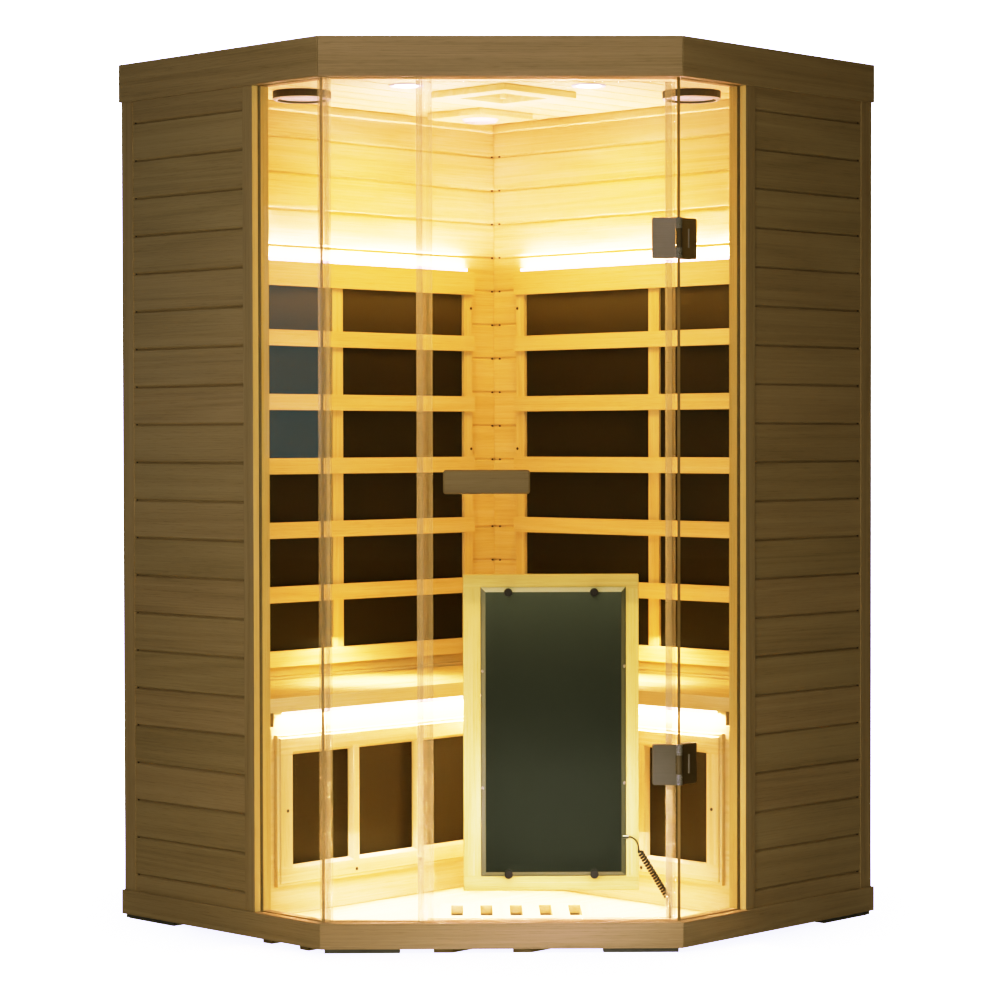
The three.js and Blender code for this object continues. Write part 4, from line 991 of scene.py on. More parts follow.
    def copied(self, name: str, places: Iterable[Matrix]) -> "Workpiece":
        """One piece made of copies of this one.

        Args:
            name: the new piece's name.
            places: where the copies sit.

        Returns:
            The new piece.
        """
        bpy.ops.object.select_all(action="DESELECT")
        copies = []
        for place in places:
            thing = bpy.data.objects.new(name, self.thing.data.copy())
            thing.data.transform(place)
            bpy.context.scene.collection.objects.link(thing)
            thing.select_set(True)
            copies.append(thing)
        bpy.context.view_layer.objects.active = copies[0]
        if len(copies) > 1:
            bpy.ops.object.join()
        return Workpiece(copies[0], name)

    def discard(self) -> None:
        """Removes a pattern piece once its copies are made."""
        bpy.data.objects.remove(self.thing)

    def dress(self, *finishes: Finish) -> "Workpiece":
        """Gives the piece its finishes, one for each slot."""
        fill_slots(self.thing, finishes)
        return self

    def tone(self, slot: int, test: FaceTest) -> "Workpiece":
        """Puts the faces that pass a test in another slot."""
        paint_faces(self.thing, slot, test)
        return self

    def fit(self, body: str, slot: str, *replaced: str) -> "Workpiece":
        """Fastens the piece to a body, hides the CAD nodes that it stands for and logs it.

        Args:
            body: the CAD body that carries it.
            slot: not used.
            replaced: CAD nodes that the piece stands for.

        Returns:
            The piece.
        """
        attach(self.thing, body)
        if replaced:
            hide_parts(*replaced)
        log.info("%s on %s", self.thing.name, body)
        return self


def dress_node(node: str, *finishes: Finish) -> Thing:
    """Gives its finishes to a CAD node that keeps its own shape.

    Args:
        node: the CAD node.
        finishes: one finish for each slot.

    Returns:
        The node's object.
    """
    thing = frame["nodes"][node]
    for face in thing.data.polygons:
        face.material_index = 0
    fill_slots(thing, finishes)
    log.info("%s keeps its shape", node)
    return thing


def eased_node(node: str, finish: Finish, slot: str, width: float) -> Workpiece:
    """Puts a copy with eased edges in the place of a timber node.

    Args:
        node: the CAD node.
        finish: its finish.
        slot: the record's material slot.
        width: how far its edges are eased.

    Returns:
        The new piece.
    """
    piece = Workpiece.from_node(node, f"{node}_eased").ease(width).dress(finish)
    return piece.fit(frame["nodes"][node]["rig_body"], slot, node)


@dataclass(frozen=True)
class Screw:
    """A cross-head screw, its head standing on Z."""

    radius: float = 0.0036
    foot: float = -0.001
    top: float = 0.0012
    rounding: float = 0.0007
    slot: Point = (0.0044, 0.0009, 0.0016)

    def pattern(self) -> Workpiece:
        """Shapes the screw's head.

        Returns:
            The piece that the screws are copied from.
        """
        head = Workpiece.rod("screw_pattern", self.radius, self.foot, self.top, 24)
        head.pick(faces_up).round_picked(self.rounding, 3)
        length, width, depth = self.slot
        for size in ((length, width, depth), (width, length, depth)):
            head.cut(Workpiece.block("screw_slot", size, (0, 0, self.top)))
        return head.smooth()


@dataclass
class Cabinet:
    """The timber shell: base and roof rings, walls, linings, floor and ceiling."""

    eased: float = 0.0015
    board_pitch: float = 0.084
    top_seam: float = 1.781
    side_shift: float = 0.468833
    panel_span: Pair = (0.043, 0.418)
    foot_height: float = 0.0088
    deck_low: float = 0.0185
    pin_sides: int = 12
    pin_foot: float = -0.003
    pin_top: float = 0.0008
    pin_rounding: float = 0.0006
    pin_radius: float = 0.0026
    pin_inset: float = 0.0485
    pin_seat: float = 0.0108
    lining_pin_radius: float = 0.0023
    lining_pin_top: float = 0.0007
    lining_pin_rounding: float = 0.0005
    lining_pin_insets: Pair = (0.0785, 0.0935)
    lining_face: float = 0.0742
    seam_count: int = 21
    lining_seams: int = 15
    post_depth: float = 0.02

    def build(self) -> None:
        """Puts eased and grained timber in the place of the shell's nodes."""
        boards = {"pitch": self.board_pitch, "seam": self.top_seam}
        front = OUTER_TIMBER.finish("front_rail")
        falling, rising = OUTER_TIMBER.finish("falling_rail", 45), OUTER_TIMBER.finish("rising_rail", 135)
        rails = {
            "front": front, "side_left": falling, "side_right": rising, "rear_left": rising, "rear_right": falling,
        }
        for place, finish in rails.items():
            eased_node(f"roof_rail_{place}", finish, "outer_wood", self.eased)
            base = eased_node(f"base_rail_{place}", finish, "outer_wood", self.eased)
            base.dress(finish, FOOT_PLASTIC).tone(1, lambda face: face.center.z < self.foot_height)
        for side in Side:
            self.side_panel(side, boards)
        for side in Side:
            turn = side.rear_turn
            rear = OUTER_TIMBER.finish(f"rear_panel_{side.word}", turn, **boards)
            eased_node(f"rear_wall_{side.word}", rear, "outer_wood", self.eased)
            lining = INNER_TIMBER.finish(f"lining_{side.word}", turn, **boards)
            eased_node(f"rear_lining_{side.word}", lining, "inner_wood", self.eased)
            trim = INNER_TIMBER.finish(f"trim_{side.word}", turn)
            eased_node(f"cornice_{side.word}", trim, "inner_wood", 2 * self.eased)
        deck = INNER_TIMBER.finish("deck", 135)
        runner = HANDLE_TIMBER.finish("runner", 135)
        floor = eased_node("floor_panel", deck, "inner_wood", self.eased)
        floor.dress(deck, runner).tone(1, lambda face: face.center.z < self.deck_low)
        eased_node("floor_heater_grille", INNER_TIMBER.finish("grille", 90), "inner_wood", self.eased)
        eased_node("ceiling_panel", deck, "inner_wood", self.eased)
        laminate = HeaterFinish("floor_heater_laminate", (0.05, 0.038, 0.02, 1), (0.07, 0.054, 0.03, 1))
        dress_node("floor_heater_element", laminate)
        dress_node("power_box", BOX_PAINT)
        self.pin_boards()

    def side_panel(self, side: Side, boards: dict[str, float]) -> None:
        """Timber of one side wall, with the end of its front post in the paler inner tone.

        Args:
            side: which wall.
            boards: height and joint of its boards.
        """
        panel = OUTER_TIMBER.finish(
            f"side_panel_{side.word}", side.side_turn,
            grain=Grain.POSTS, span=self.panel_span, shift=self.side_shift, **boards,
        )
        # The front post's end face takes a tone between the oiled outside and the bare lining.
        inner = POST_END_TIMBER.finish("wall_end", grain=Grain.UPRIGHT)
        wall = side_wall(side)
        run, end = Vector((*wall.along, 0)), wall.at(self.panel_span[1] + self.post_depth, 0, 0)
        piece = eased_node(f"side_wall_{side.word}", panel, "outer_wood", self.eased).dress(panel, inner)
        piece.tone(1, lambda face: face.normal.dot(run) > 0.9 and (face.center - end).dot(run) > 0)

    def pin_boards(self) -> None:
        """Sets a small dark pin at the end of each board joint, outside and in the back corner."""
        pin = Workpiece.rod("pin_pattern", self.pin_radius, self.pin_foot, self.pin_top, self.pin_sides)
        pin.pick(faces_up).round_picked(self.pin_rounding, 2).smooth()
        radius, top = self.lining_pin_radius, self.lining_pin_top
        small = Workpiece.rod("small_pin_pattern", radius, self.pin_foot, top, self.pin_sides)
        small.pick(faces_up).round_picked(self.lining_pin_rounding, 2).smooth()
        seams = [self.top_seam - row * self.board_pitch for row in range(self.seam_count)]
        for side, inset in zip(Side, self.lining_pin_insets):
            places = [side_wall(side).seat(self.pin_inset, self.pin_seat, seam, (0, -1, 0)) for seam in seams]
            pin.copied(f"board_pins_{side.word}", places).dress(DARK_STEEL).fit("cabin", "outer_wood")
            places = [rear_wall(side).seat(inset, self.lining_face, seam) for seam in seams[:self.lining_seams]]
            small.copied(f"lining_pins_{side.word}", places).dress(DARK_STEEL).fit("cabin", "inner_wood")
        pin.discard()
        small.discard()


@dataclass
class Seating:
    """Benches, kick panels, heaters and their guards, with the light strips and small brackets."""

    eased: float = 0.002
    guard_low: float = 0.548
    guard_pitch: float = 0.149
    guard_top: float = 1.489
    # Heights over which the back heater is painted paler: painted light from the strip above.
    heater_paler: Pair = (1.22, 1.44)
    calf_window: Pair = (0.148, 0.389)
    strip_width: float = 0.014
    strip_height: float = 0.008
    strip_gap: float = 0.0002
    channel_wall: float = 0.0016
    channel_depth: float = 0.0048
    channel_eased: float = 0.0004
    lens_height: float = 0.004
    lens_play: float = 0.004
    lens_sunk: float = 0.0018
    lens_rounding: float = 0.0012
    back_strip: Pair = (0.186, 1.076)
    back_strip_inward: float = 0.087
    seat_strip: Pair = (0.475, 1.095)
    seat_strip_inward: float = 0.433
    bench_low: float = 0.486
    bracket_place: Pair = (1.1235, 0.418)
    bracket_plate: Point = (0.002, 0.026, 0.030)
    bracket_reach: float = 0.028
    bracket_gap: float = 0.0005
    bracket_eased: float = 0.0006
    guard_screw_alongs: Pair = (0.1815, 1.066)
    guard_screw_heights: tuple[float, ...] = (0.705, 1.052, 1.399)
    guard_face: float = 0.1004
    calf_end_screws: Pair = (0.4875, 1.0835)
    calf_end_height: float = 0.268
    calf_low_screws: Pair = (0.682, 0.880)
    calf_low_height: float = 0.120
    calf_face: float = 0.4319
    profile_glow: float = 7.0
    back_glow: float = 320.0
    seat_glow: float = 600.0

    def build(self) -> None:
        """Builds both sides."""
        screw = Screw().pattern()
        for side in Side:
            self.timber(side)
            self.heaters(side)
            self.strips(side)
            self.bracket(side)
            self.screws(side, screw)
        screw.discard()

    def timber(self, side: Side) -> None:
        """Bench, kick panel and guards.

        Args:
            side: which half they stand in.
        """
        word, turn = side.word, side.rear_turn
        plain = INNER_TIMBER.finish(f"seat_{word}", turn)
        eased_node(f"bench_{word}", plain, "inner_wood", 1.5 * self.eased)
        eased_node(f"kick_panel_{word}", plain, "inner_wood", 0.5 * self.eased)
        rows = (self.guard_low, self.guard_pitch)
        slats = INNER_TIMBER.finish(f"slats_{word}", turn, grain=Grain.SLATS, span=rows)
        eased_node(f"heater_guard_{word}", slats, "inner_wood", self.eased)
        calf = INNER_TIMBER.finish(f"frame_{word}", turn, grain=Grain.FRAME, span=self.calf_window)
        eased_node(f"calf_guard_{word}", calf, "inner_wood", 0.75 * self.eased)

    def heaters(self, side: Side) -> None:
        """Finishes of the back and calf heaters.

        Args:
            side: which half they stand in.
        """
        word, turn = side.word, side.rear_turn
        dark, thread = (0.005, 0.0045, 0.002, 1), (0.010, 0.0085, 0.0045, 1)
        back = HeaterFinish(f"back_heater_laminate_{word}", dark, thread, turn, self.heater_paler)
        dress_node(f"back_heater_{word}", back)
        dark, thread = (0.012, 0.009, 0.003, 1), (0.02, 0.015, 0.006, 1)
        dress_node(f"calf_heater_{word}", HeaterFinish(f"calf_heater_laminate_{word}", dark, thread, turn))

    def strips(self, side: Side) -> None:
        """Light strips above the back guard and under the bench's edge.

        Args:
            side: which half they stand in.
        """
        wall, turn = rear_wall(side), side.rear_turn
        start, end = self.back_strip
        seat = wall.seat((start + end) / 2, self.back_strip_inward, self.guard_top, (0, 0, 1))
        self.strip(f"back_strip_{side.word}", end - start, seat, self.back_glow, turn, BACK_LIGHT)
        start, end = self.seat_strip
        seat = wall.seat((start + end) / 2, self.seat_strip_inward, self.bench_low, (0, 0, -1))
        self.strip(f"seat_strip_{side.word}", end - start, seat, self.seat_glow, turn, SEAT_LIGHT)

    def strip(self, name: str, length: float, seat: Matrix, glow: float, turn: float, light: Colour) -> None:
        """A light strip: a milky channel with a lit diffuser in it.

        Args:
            name: the strip's name.
            length: its length.
            seat: where its foot sits, with Z the way that it shines.
            glow: its brightness.
            turn: angle that brings its run onto X.
            light: its light's colour.
        """
        size = (length, self.strip_width, self.strip_height)
        channel = Workpiece.block(f"{name}_channel", size, (0, 0, self.strip_height / 2 + self.strip_gap))
        channel.pick(faces_up).inset(self.channel_wall)
        channel.extrude((0, 0, -self.channel_depth)).ease(self.channel_eased, 1)
        channel.thing.data.transform(seat)
        channel.dress(GlowFinish(f"{name}_profile", light, self.profile_glow, turn=turn)).fit("cabin", "lamp_lens")
        size = (length - self.lens_play, self.strip_width - self.lens_play, self.lens_height)
        lens = Workpiece.block(f"{name}_diffuser", size, (0, 0, self.strip_height - self.lens_sunk))
        lens.pick(faces_up).round_picked(self.lens_rounding, 2).smooth()
        lens.thing.data.transform(seat)
        lens.dress(GlowFinish(f"{name}_glow", light, glow, turn=turn)).fit("cabin", "lamp_lens")

    def bracket(self, side: Side) -> None:
        """The small angle bracket that holds a bench end to the side wall.

        Args:
            side: which half it stands in.
        """
        thick, _, tall = self.bracket_plate
        piece = Workpiece.block(f"bench_bracket_{side.word}", self.bracket_plate, (0, 0, tall / 2))
        piece.pick(faces_up).extrude((0, 0, thick))
        piece.pick(lambda face: face.normal.x < -0.9 and face.center.z > tall).extrude((-self.bracket_reach, 0, 0))
        piece.ease(self.bracket_eased)
        wall = rear_wall(side)
        place = wall.at(*self.bracket_place, self.bench_low - tall - thick - self.bracket_gap)
        piece.thing.data.transform(axes_at(place, Vector((*wall.along, 0)), UP))
        piece.dress(BRACKET_STEEL).fit("cabin", "bronze")

    def screws(self, side: Side, screw: Workpiece) -> None:
        """Screws in the guard's stiles, and in the calf guard's ends and low rail.

        Args:
            side: which half they stand in.
            screw: the screw's pattern.
        """
        wall = rear_wall(side)
        places = [
            wall.seat(along, self.guard_face, up)
            for along in self.guard_screw_alongs for up in self.guard_screw_heights
        ]
        places += [wall.seat(along, self.calf_face, self.calf_end_height) for along in self.calf_end_screws]
        places += [wall.seat(along, self.calf_face, self.calf_low_height) for along in self.calf_low_screws]
        screw.copied(f"guard_screws_{side.word}", places).dress(DARK_STEEL).fit("cabin", "box_metal")


@dataclass
class Glazing:
    """Panes, clear strips and hinges."""

    strip_along: float = 0.029
    strip_size: Point = (0.004, 0.040, 0.0016)
    strip_margin: float = 0.0006
    strip_crown: float = 0.0004
    strip_eased: float = 0.0003
    pin_x: float = 0.373373
    pin_y: float = -0.638028
    hinge_heights: Pair = (0.392, 1.495)
    plate_face: float = 0.001
    barrel_radius: float = 0.0068
    eased: float = 0.0005

    def build(self) -> None:
        """Dresses the glass and hinges and adds the hinges' cover strips."""
        for node in ("side_glass_left", "side_glass_right", "front_glass", "door_glass"):
            pane = dress_node(node, GLASS, GLASS_EDGE)
            broad = max(pane.data.polygons, key=lambda face: face.area).normal.copy()
            paint_faces(pane, 1, lambda face: abs(face.normal.dot(broad)) < 0.5)
        for node in ("corner_seal", "strike_seal", "hinge_side_seal"):
            dress_node(node, CLEAR_STRIP)
        # The lower hinge takes the darker copies of the bronzes: painted shade.
        for place, bronze, dark in (("upper", BRONZE, DARK_BRONZE), ("lower", SHADED_LOWER_BRONZE, SHADED_LOWER_DARK_BRONZE)):
            leaf = eased_node(f"hinge_{place}_door_leaf", bronze, "bronze", self.eased).dress(bronze, EAR_STEEL)
            leaf.tone(1, lambda face: face.center.x > self.pin_x - self.barrel_radius)
            leaf = eased_node(f"hinge_{place}_fixed_leaf", dark, "bronze", self.eased).dress(dark, KNUCKLE_BRONZE)
            leaf.tone(1, lambda face: face.center.x < self.pin_x + self.barrel_radius)
        self.cover_strips()

    def cover_strips(self) -> None:
        """The slim raised strip over the screws of each fixed leaf."""
        pattern = Workpiece.block("strip_pattern", self.strip_size, (0, 0, self.strip_size[2] / 2))
        pattern.pick(faces_up).inset(self.strip_margin, self.strip_crown).ease(self.strip_eased)
        run = Vector((DIAGONAL, DIAGONAL, 0))
        out = Vector((DIAGONAL, -DIAGONAL, 0))
        for name, height in zip(("lower", "upper"), self.hinge_heights):
            place = Vector((self.pin_x, self.pin_y, height)) + run * self.strip_along + out * self.plate_face
            piece = pattern.copied(f"hinge_{name}_cover", [axes_at(place, run, out)])
            piece.dress(BRONZE).fit("cabin", "bronze")
        pattern.discard()


@dataclass
class HeatedDoor:
    """The door's handle and heater: frame, tray, caps and screws."""

    bolt_xs: Pair = (0.015, 0.195)
    cap_zs: Pair = (0.162, 0.7545)
    rim_width: float = 0.0022
    panel_size: Point = (0.2475, 0.0007, 0.5406)
    panel_centre: Point = (110.0, 30.75, 454.0)
    cap_radius: float = 0.0089
    cap_front: float = 0.0075
    glass_front_y: float = FRONT_FACE_Y + 0.0207
    cap_rounding: float = 0.0034
    panel_eased: float = 0.00025
    tray_screws: tuple[Pair, ...] = ((-39.5, 588), (-39.5, 342), (259.5, 598), (259.5, 352))
    tray_screw_depth: float = 37.4
    tray_middle: float = 100.0
    side_lean: Pair = (0.79, -0.61)
    frame_window: Pair = (0.157, 0.761)
    frame_eased: float = 0.0015

    def build(self) -> None:
        """Builds the door's pieces."""
        # The handle's rounded rim takes the paler bare timber: a painted highlight along its edge.
        plate = Workpiece.from_node("door_handle", "door_handle_eased").ease(self.rim_width, 2, slot=1)
        plate.dress(HANDLE_TIMBER.finish("handle"), INNER_TIMBER.finish("rim")).fit("door", "outer_wood", "door_handle")
        surround = FRAME_TIMBER.finish("surround", grain=Grain.FRAME, span=self.frame_window)
        eased_node("door_heater_frame", surround, "inner_wood", self.frame_eased)
        tray = dress_node("door_heater_tray", TRAY_PAINT, TRAY_FOLD_SHEEN, TRAY_TOP_FOLD_LIT, TRAY_LOW_FOLD_LIT)
        # The folds take lighter copies of the tray paint by the way they face: painted sheen, and painted light on the
        # top, left and bottom folds.
        paint_faces(tray, 1, self.folded)
        paint_faces(tray, 2, lambda face: self.folded(face) and face.normal.z > 0.2)
        paint_faces(tray, 3, lambda face: self.folded(face) and min(face.normal.x, face.normal.z) < -0.2)
        panel = Workpiece.block("door_heater_panel", self.panel_size, tuple(plan_point(*self.panel_centre)))
        panel.ease(self.panel_eased).dress(TRAY_PAINT).fit("door", "tray_metal")
        laminate = HeaterFinish("door_heater_laminate", (0.012, 0.009, 0.005, 1), (0.022, 0.016, 0.009, 1))
        dress_node("door_heater_element", laminate)
        self.caps()
        self.screws()

    def folded(self, face: bpy.types.MeshPolygon) -> bool:
        """Says whether a face lies on one of the tray's splayed sides."""
        return 0.2 < -face.normal.y < 0.95

    def caps(self) -> None:
        """Domed caps over the four clamp bolts, outside the glass."""
        pattern = Workpiece.rod("cap_pattern", self.cap_radius, 0.0, self.cap_front, 40)
        pattern.pick(faces_up).round_picked(self.cap_rounding, 5).smooth(40)
        spots = [Vector((x, self.glass_front_y, z)) for x in self.bolt_xs for z in self.cap_zs]
        places = [axes_at(spot, ACROSS, FORWARD) for spot in spots]
        pattern.copied("door_heater_caps", places).dress(CAP_PLASTIC).fit("door", "rubber")
        pattern.discard()

    def screws(self) -> None:
        """Screws in the tray's folded sides."""
        screw = Screw().pattern()
        places = []
        lean, ahead = self.side_lean
        for x, z in self.tray_screws:
            out = Vector((-lean if x < self.tray_middle else lean, ahead, 0)).normalized()
            places.append(axes_at(plan_point(x, self.tray_screw_depth, z), UP, out))
        screw.copied("door_heater_screws", places).dress(BRIGHT_STEEL).fit("door", "box_metal")
        screw.discard()


@dataclass
class CeilingFittings:
    """Vent, lamp, speakers and downlights."""

    speaker: Point = (0.440, 0.512, 1.8463)
    grille_radius: float = 0.0505
    grille_rings: int = 6
    downlight: Point = (0.202, 0.392, 1.8596)
    lens_radius: float = 0.0262
    lens_rim: float = 0.004
    lens_crown: float = 0.0008
    thickness: float = 0.0022
    eased: float = 0.0015
    rings: tuple[Pair, ...] = ((0.0040, 0.0), (0.0006, -0.0012), (0.0022, 0.0), (0.0006, 0.0012))

    def build(self) -> None:
        """Dresses the fittings and adds grilles and lenses."""
        trim = INNER_TIMBER.finish("vent", 135)
        for node in ("vent_frame", "lamp_frame", "vent_slider"):
            eased_node(node, trim, "inner_wood", self.eased)
        dress_node("lamp_lens", LAMP_GLASS)
        for side in Side:
            speaker = dress_node(f"speaker_{side.word}", SPEAKER_PLASTIC, GRILLE_PLASTIC)
            paint_faces(speaker, 1, lambda face: face.normal.z < -0.5)
            dress_node(f"downlight_{side.word}", TRIM_WHITE)
        self.grilles()
        self.lenses()

    def grilles(self) -> None:
        """Ribbed round grilles on the speakers' faces."""
        pattern = Workpiece.rod("grille_pattern", self.grille_radius, 0.0, self.thickness, 48)
        for _ in range(self.grille_rings):
            for thickness, depth in self.rings:
                pattern.pick(lambda face: faces_up(face) and face.center.xy.length < 1e-4)
                pattern.inset(thickness, depth)
        pattern.smooth(30)
        self.hang(pattern, "speaker_grille", self.speaker, GRILLE_PLASTIC, "speaker_plastic")

    def lenses(self) -> None:
        """Lit lenses in the two downlights."""
        pattern = Workpiece.rod("lens_pattern", self.lens_radius, 0.0, self.thickness, 40)
        pattern.pick(faces_up).inset(self.lens_rim, self.lens_crown).smooth(60)
        self.hang(pattern, "downlight_lens", self.downlight, LENS_GLOW, "lamp_lens")

    def hang(self, pattern: Workpiece, name: str, spot: Point, finish: Finish, slot: str) -> None:
        """Hangs a copy of a round pattern on each side and removes the pattern.

        Args:
            pattern: the piece, facing up.
            name: the copies' name, without the side.
            spot: its place from the middle of the front face, and its height.
            finish: its finish.
            slot: the record's material slot.
        """
        x, y, z = spot
        for side in Side:
            place = Vector((side.value * x, y + FRONT_FACE_Y, z))
            piece = pattern.copied(f"{name}_{side.word}", [axes_at(place, ACROSS, DOWN)])
            piece.dress(finish).fit("cabin", slot)
        pattern.discard()


@dataclass
class CurlyLead:
    """The curly lead from the door heater's tray to the gland in the floor."""

    diameter: float = 0.0052
    curl: float = 0.0147
    curls: int = 18
    steps: int = 20
    spacing: float = 0.0012
    length: float = 0.64
    start: Point = (267.8, 36, 238)
    thin: float = 0.55
    thinning: float = 0.008
    way_out: tuple[Point, ...] = ((272, 36, 238), (281.5, 35, 232.5), (287.5, 36, 222))
    curl_start: Point = (292, 41, 206)
    curl_end: Point = (353, 62, 104)
    way_in: tuple[Point, ...] = ((356, 66, 92), (357, 68, 66.5), (357, 68, 53), (357, 68, 41))

    def knots(self) -> list[Vector]:
        """Lays out the lead: its way out of the tray, its curls, and its way down to the gland.

        Returns:
            The points that its middle line goes through.
        """
        first = plan_point(*self.curl_start)
        axis = plan_point(*self.curl_end) - first
        away = axis.normalized()
        sideways = Vector((0, 1, 0)).cross(away).normalized()
        third = away.cross(sideways)
        reach = (self.curl - self.diameter) / 2
        total = self.curls * self.steps
        points = [plan_point(*p) for p in (self.start, *self.way_out)]
        for i in range(total + 1):
            turn = 2 * math.pi * i / self.steps
            taper = min(1, 0.6 + i / self.steps, 0.6 + (total - i) / self.steps)
            swing = sideways * math.cos(turn) + third * math.sin(turn)
            points.append(first + axis * (i / total) + swing * (reach * taper))
        return points + [plan_point(*p) for p in self.way_in]

    def line(self) -> list[Vector]:
        """Draws a smooth line through the knots.

        Returns:
            The line's points, at a close spacing.
        """
        knots = self.knots()
        ends = [2 * knots[0] - knots[1], *knots, 2 * knots[-1] - knots[-2]]
        points = [knots[0]]
        for a, b, c, d in zip(ends, ends[1:], ends[2:], ends[3:]):
            count = max(1, round((c - b).length / self.spacing))
            for k in range(1, count + 1):
                points.append(rounded_between(a, b, c, d, k / count))
        return points

    def build(self) -> None:
        """Draws the lead as a tube along its line, hides the CAD lead and dresses the gland."""
        points = self.line()
        curve = bpy.data.curves.new("curly_lead_line", "CURVE")
        curve.dimensions = "3D"
        curve.bevel_depth = self.diameter / 2
        curve.bevel_resolution = 3
        curve.use_fill_caps = True
        spline = curve.splines.new("POLY")
        spline.points.add(len(points) - 1)
        inner = plan_point(*self.curl_start).z
        for knot, point in zip(spline.points, points):
            knot.co = (*point, 1)
            bare = min(1.0, max(0.0, (point.z - inner) / self.thinning))
            knot.radius = 1.0 - (1.0 - self.thin) * bare
        thing = bpy.data.objects.new("curly_lead_tube", curve)
        bpy.context.scene.collection.objects.link(thing)
        select_only(thing)
        bpy.ops.object.convert(target="MESH")
        tube = Workpiece(bpy.context.object, "curly_lead_tube").smooth(60).dress(LEAD_RUBBER)
        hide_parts("curly_lead")
        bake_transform(tube.thing)
        dress_node("lead_gland", LEAD_RUBBER)
        log.info("curly_lead_tube between door and cabin")


def rounded_between(a: Vector, b: Vector, c: Vector, d: Vector, share: float) -> Vector:
    """A point between b and c on a smooth line that comes from a and goes on to d.

    Args:
        a: the knot before.
        b: the first knot.
        c: the second knot.
        d: the knot after.
        share: how far from b to c.

    Returns:
        The point.
    """
    t0 = 0.0
    t1 = t0 + math.sqrt((b - a).length)
    t2 = t1 + math.sqrt((c - b).length)
    t3 = t2 + math.sqrt((d - c).length)
    t = t1 + share * (t2 - t1)
    ab = a.lerp(b, (t - t0) / (t1 - t0))
    bc = b.lerp(c, (t - t1) / (t2 - t1))
    cd = c.lerp(d, (t - t2) / (t3 - t2))
    abc = ab.lerp(bc, (t - t0) / (t2 - t0))
    bcd = bc.lerp(cd, (t - t1) / (t3 - t1))
    return abc.lerp(bcd, (t - t1) / (t2 - t1))


@dataclass
class SoftBox:
    """A studio lamp with a flat face.

    Attributes:
        name: its name.
        place: where it stands.
        aim: what it points at.
        size: width and height of its face.
        power: its power in watts.
        colour: its colour.
        mirrored: seen only as a reflection.
        spread: angle of the cone that it fills, in degrees.
    """

    name: str
    place: Point
    aim: Point
    size: Pair
    power: float
    colour: Point = (1.0, 0.97, 0.93)
    mirrored: bool = False
    spread: float = 180.0

    def build(self) -> None:
        """Sets the lamp up, out of the camera's sight, to light things or to be mirrored in the glass."""
        lamp = bpy.data.lights.new(self.name, "AREA")
        lamp.shape = "RECTANGLE"
        lamp.size, lamp.size_y = self.size
        lamp.energy = self.power
        lamp.color = self.colour
        lamp.spread = math.radians(self.spread)
        thing = bpy.data.objects.new(self.name, lamp)
        bpy.context.scene.collection.objects.link(thing)
        thing.location = self.place
        towards = Vector(self.aim) - Vector(self.place)
        thing.rotation_euler = towards.to_track_quat("-Z", "Y").to_euler()
        thing.visible_camera = False
        thing.visible_glossy = self.mirrored
        thing.visible_diffuse = not self.mirrored
        log.info("%s lights the set", self.name)


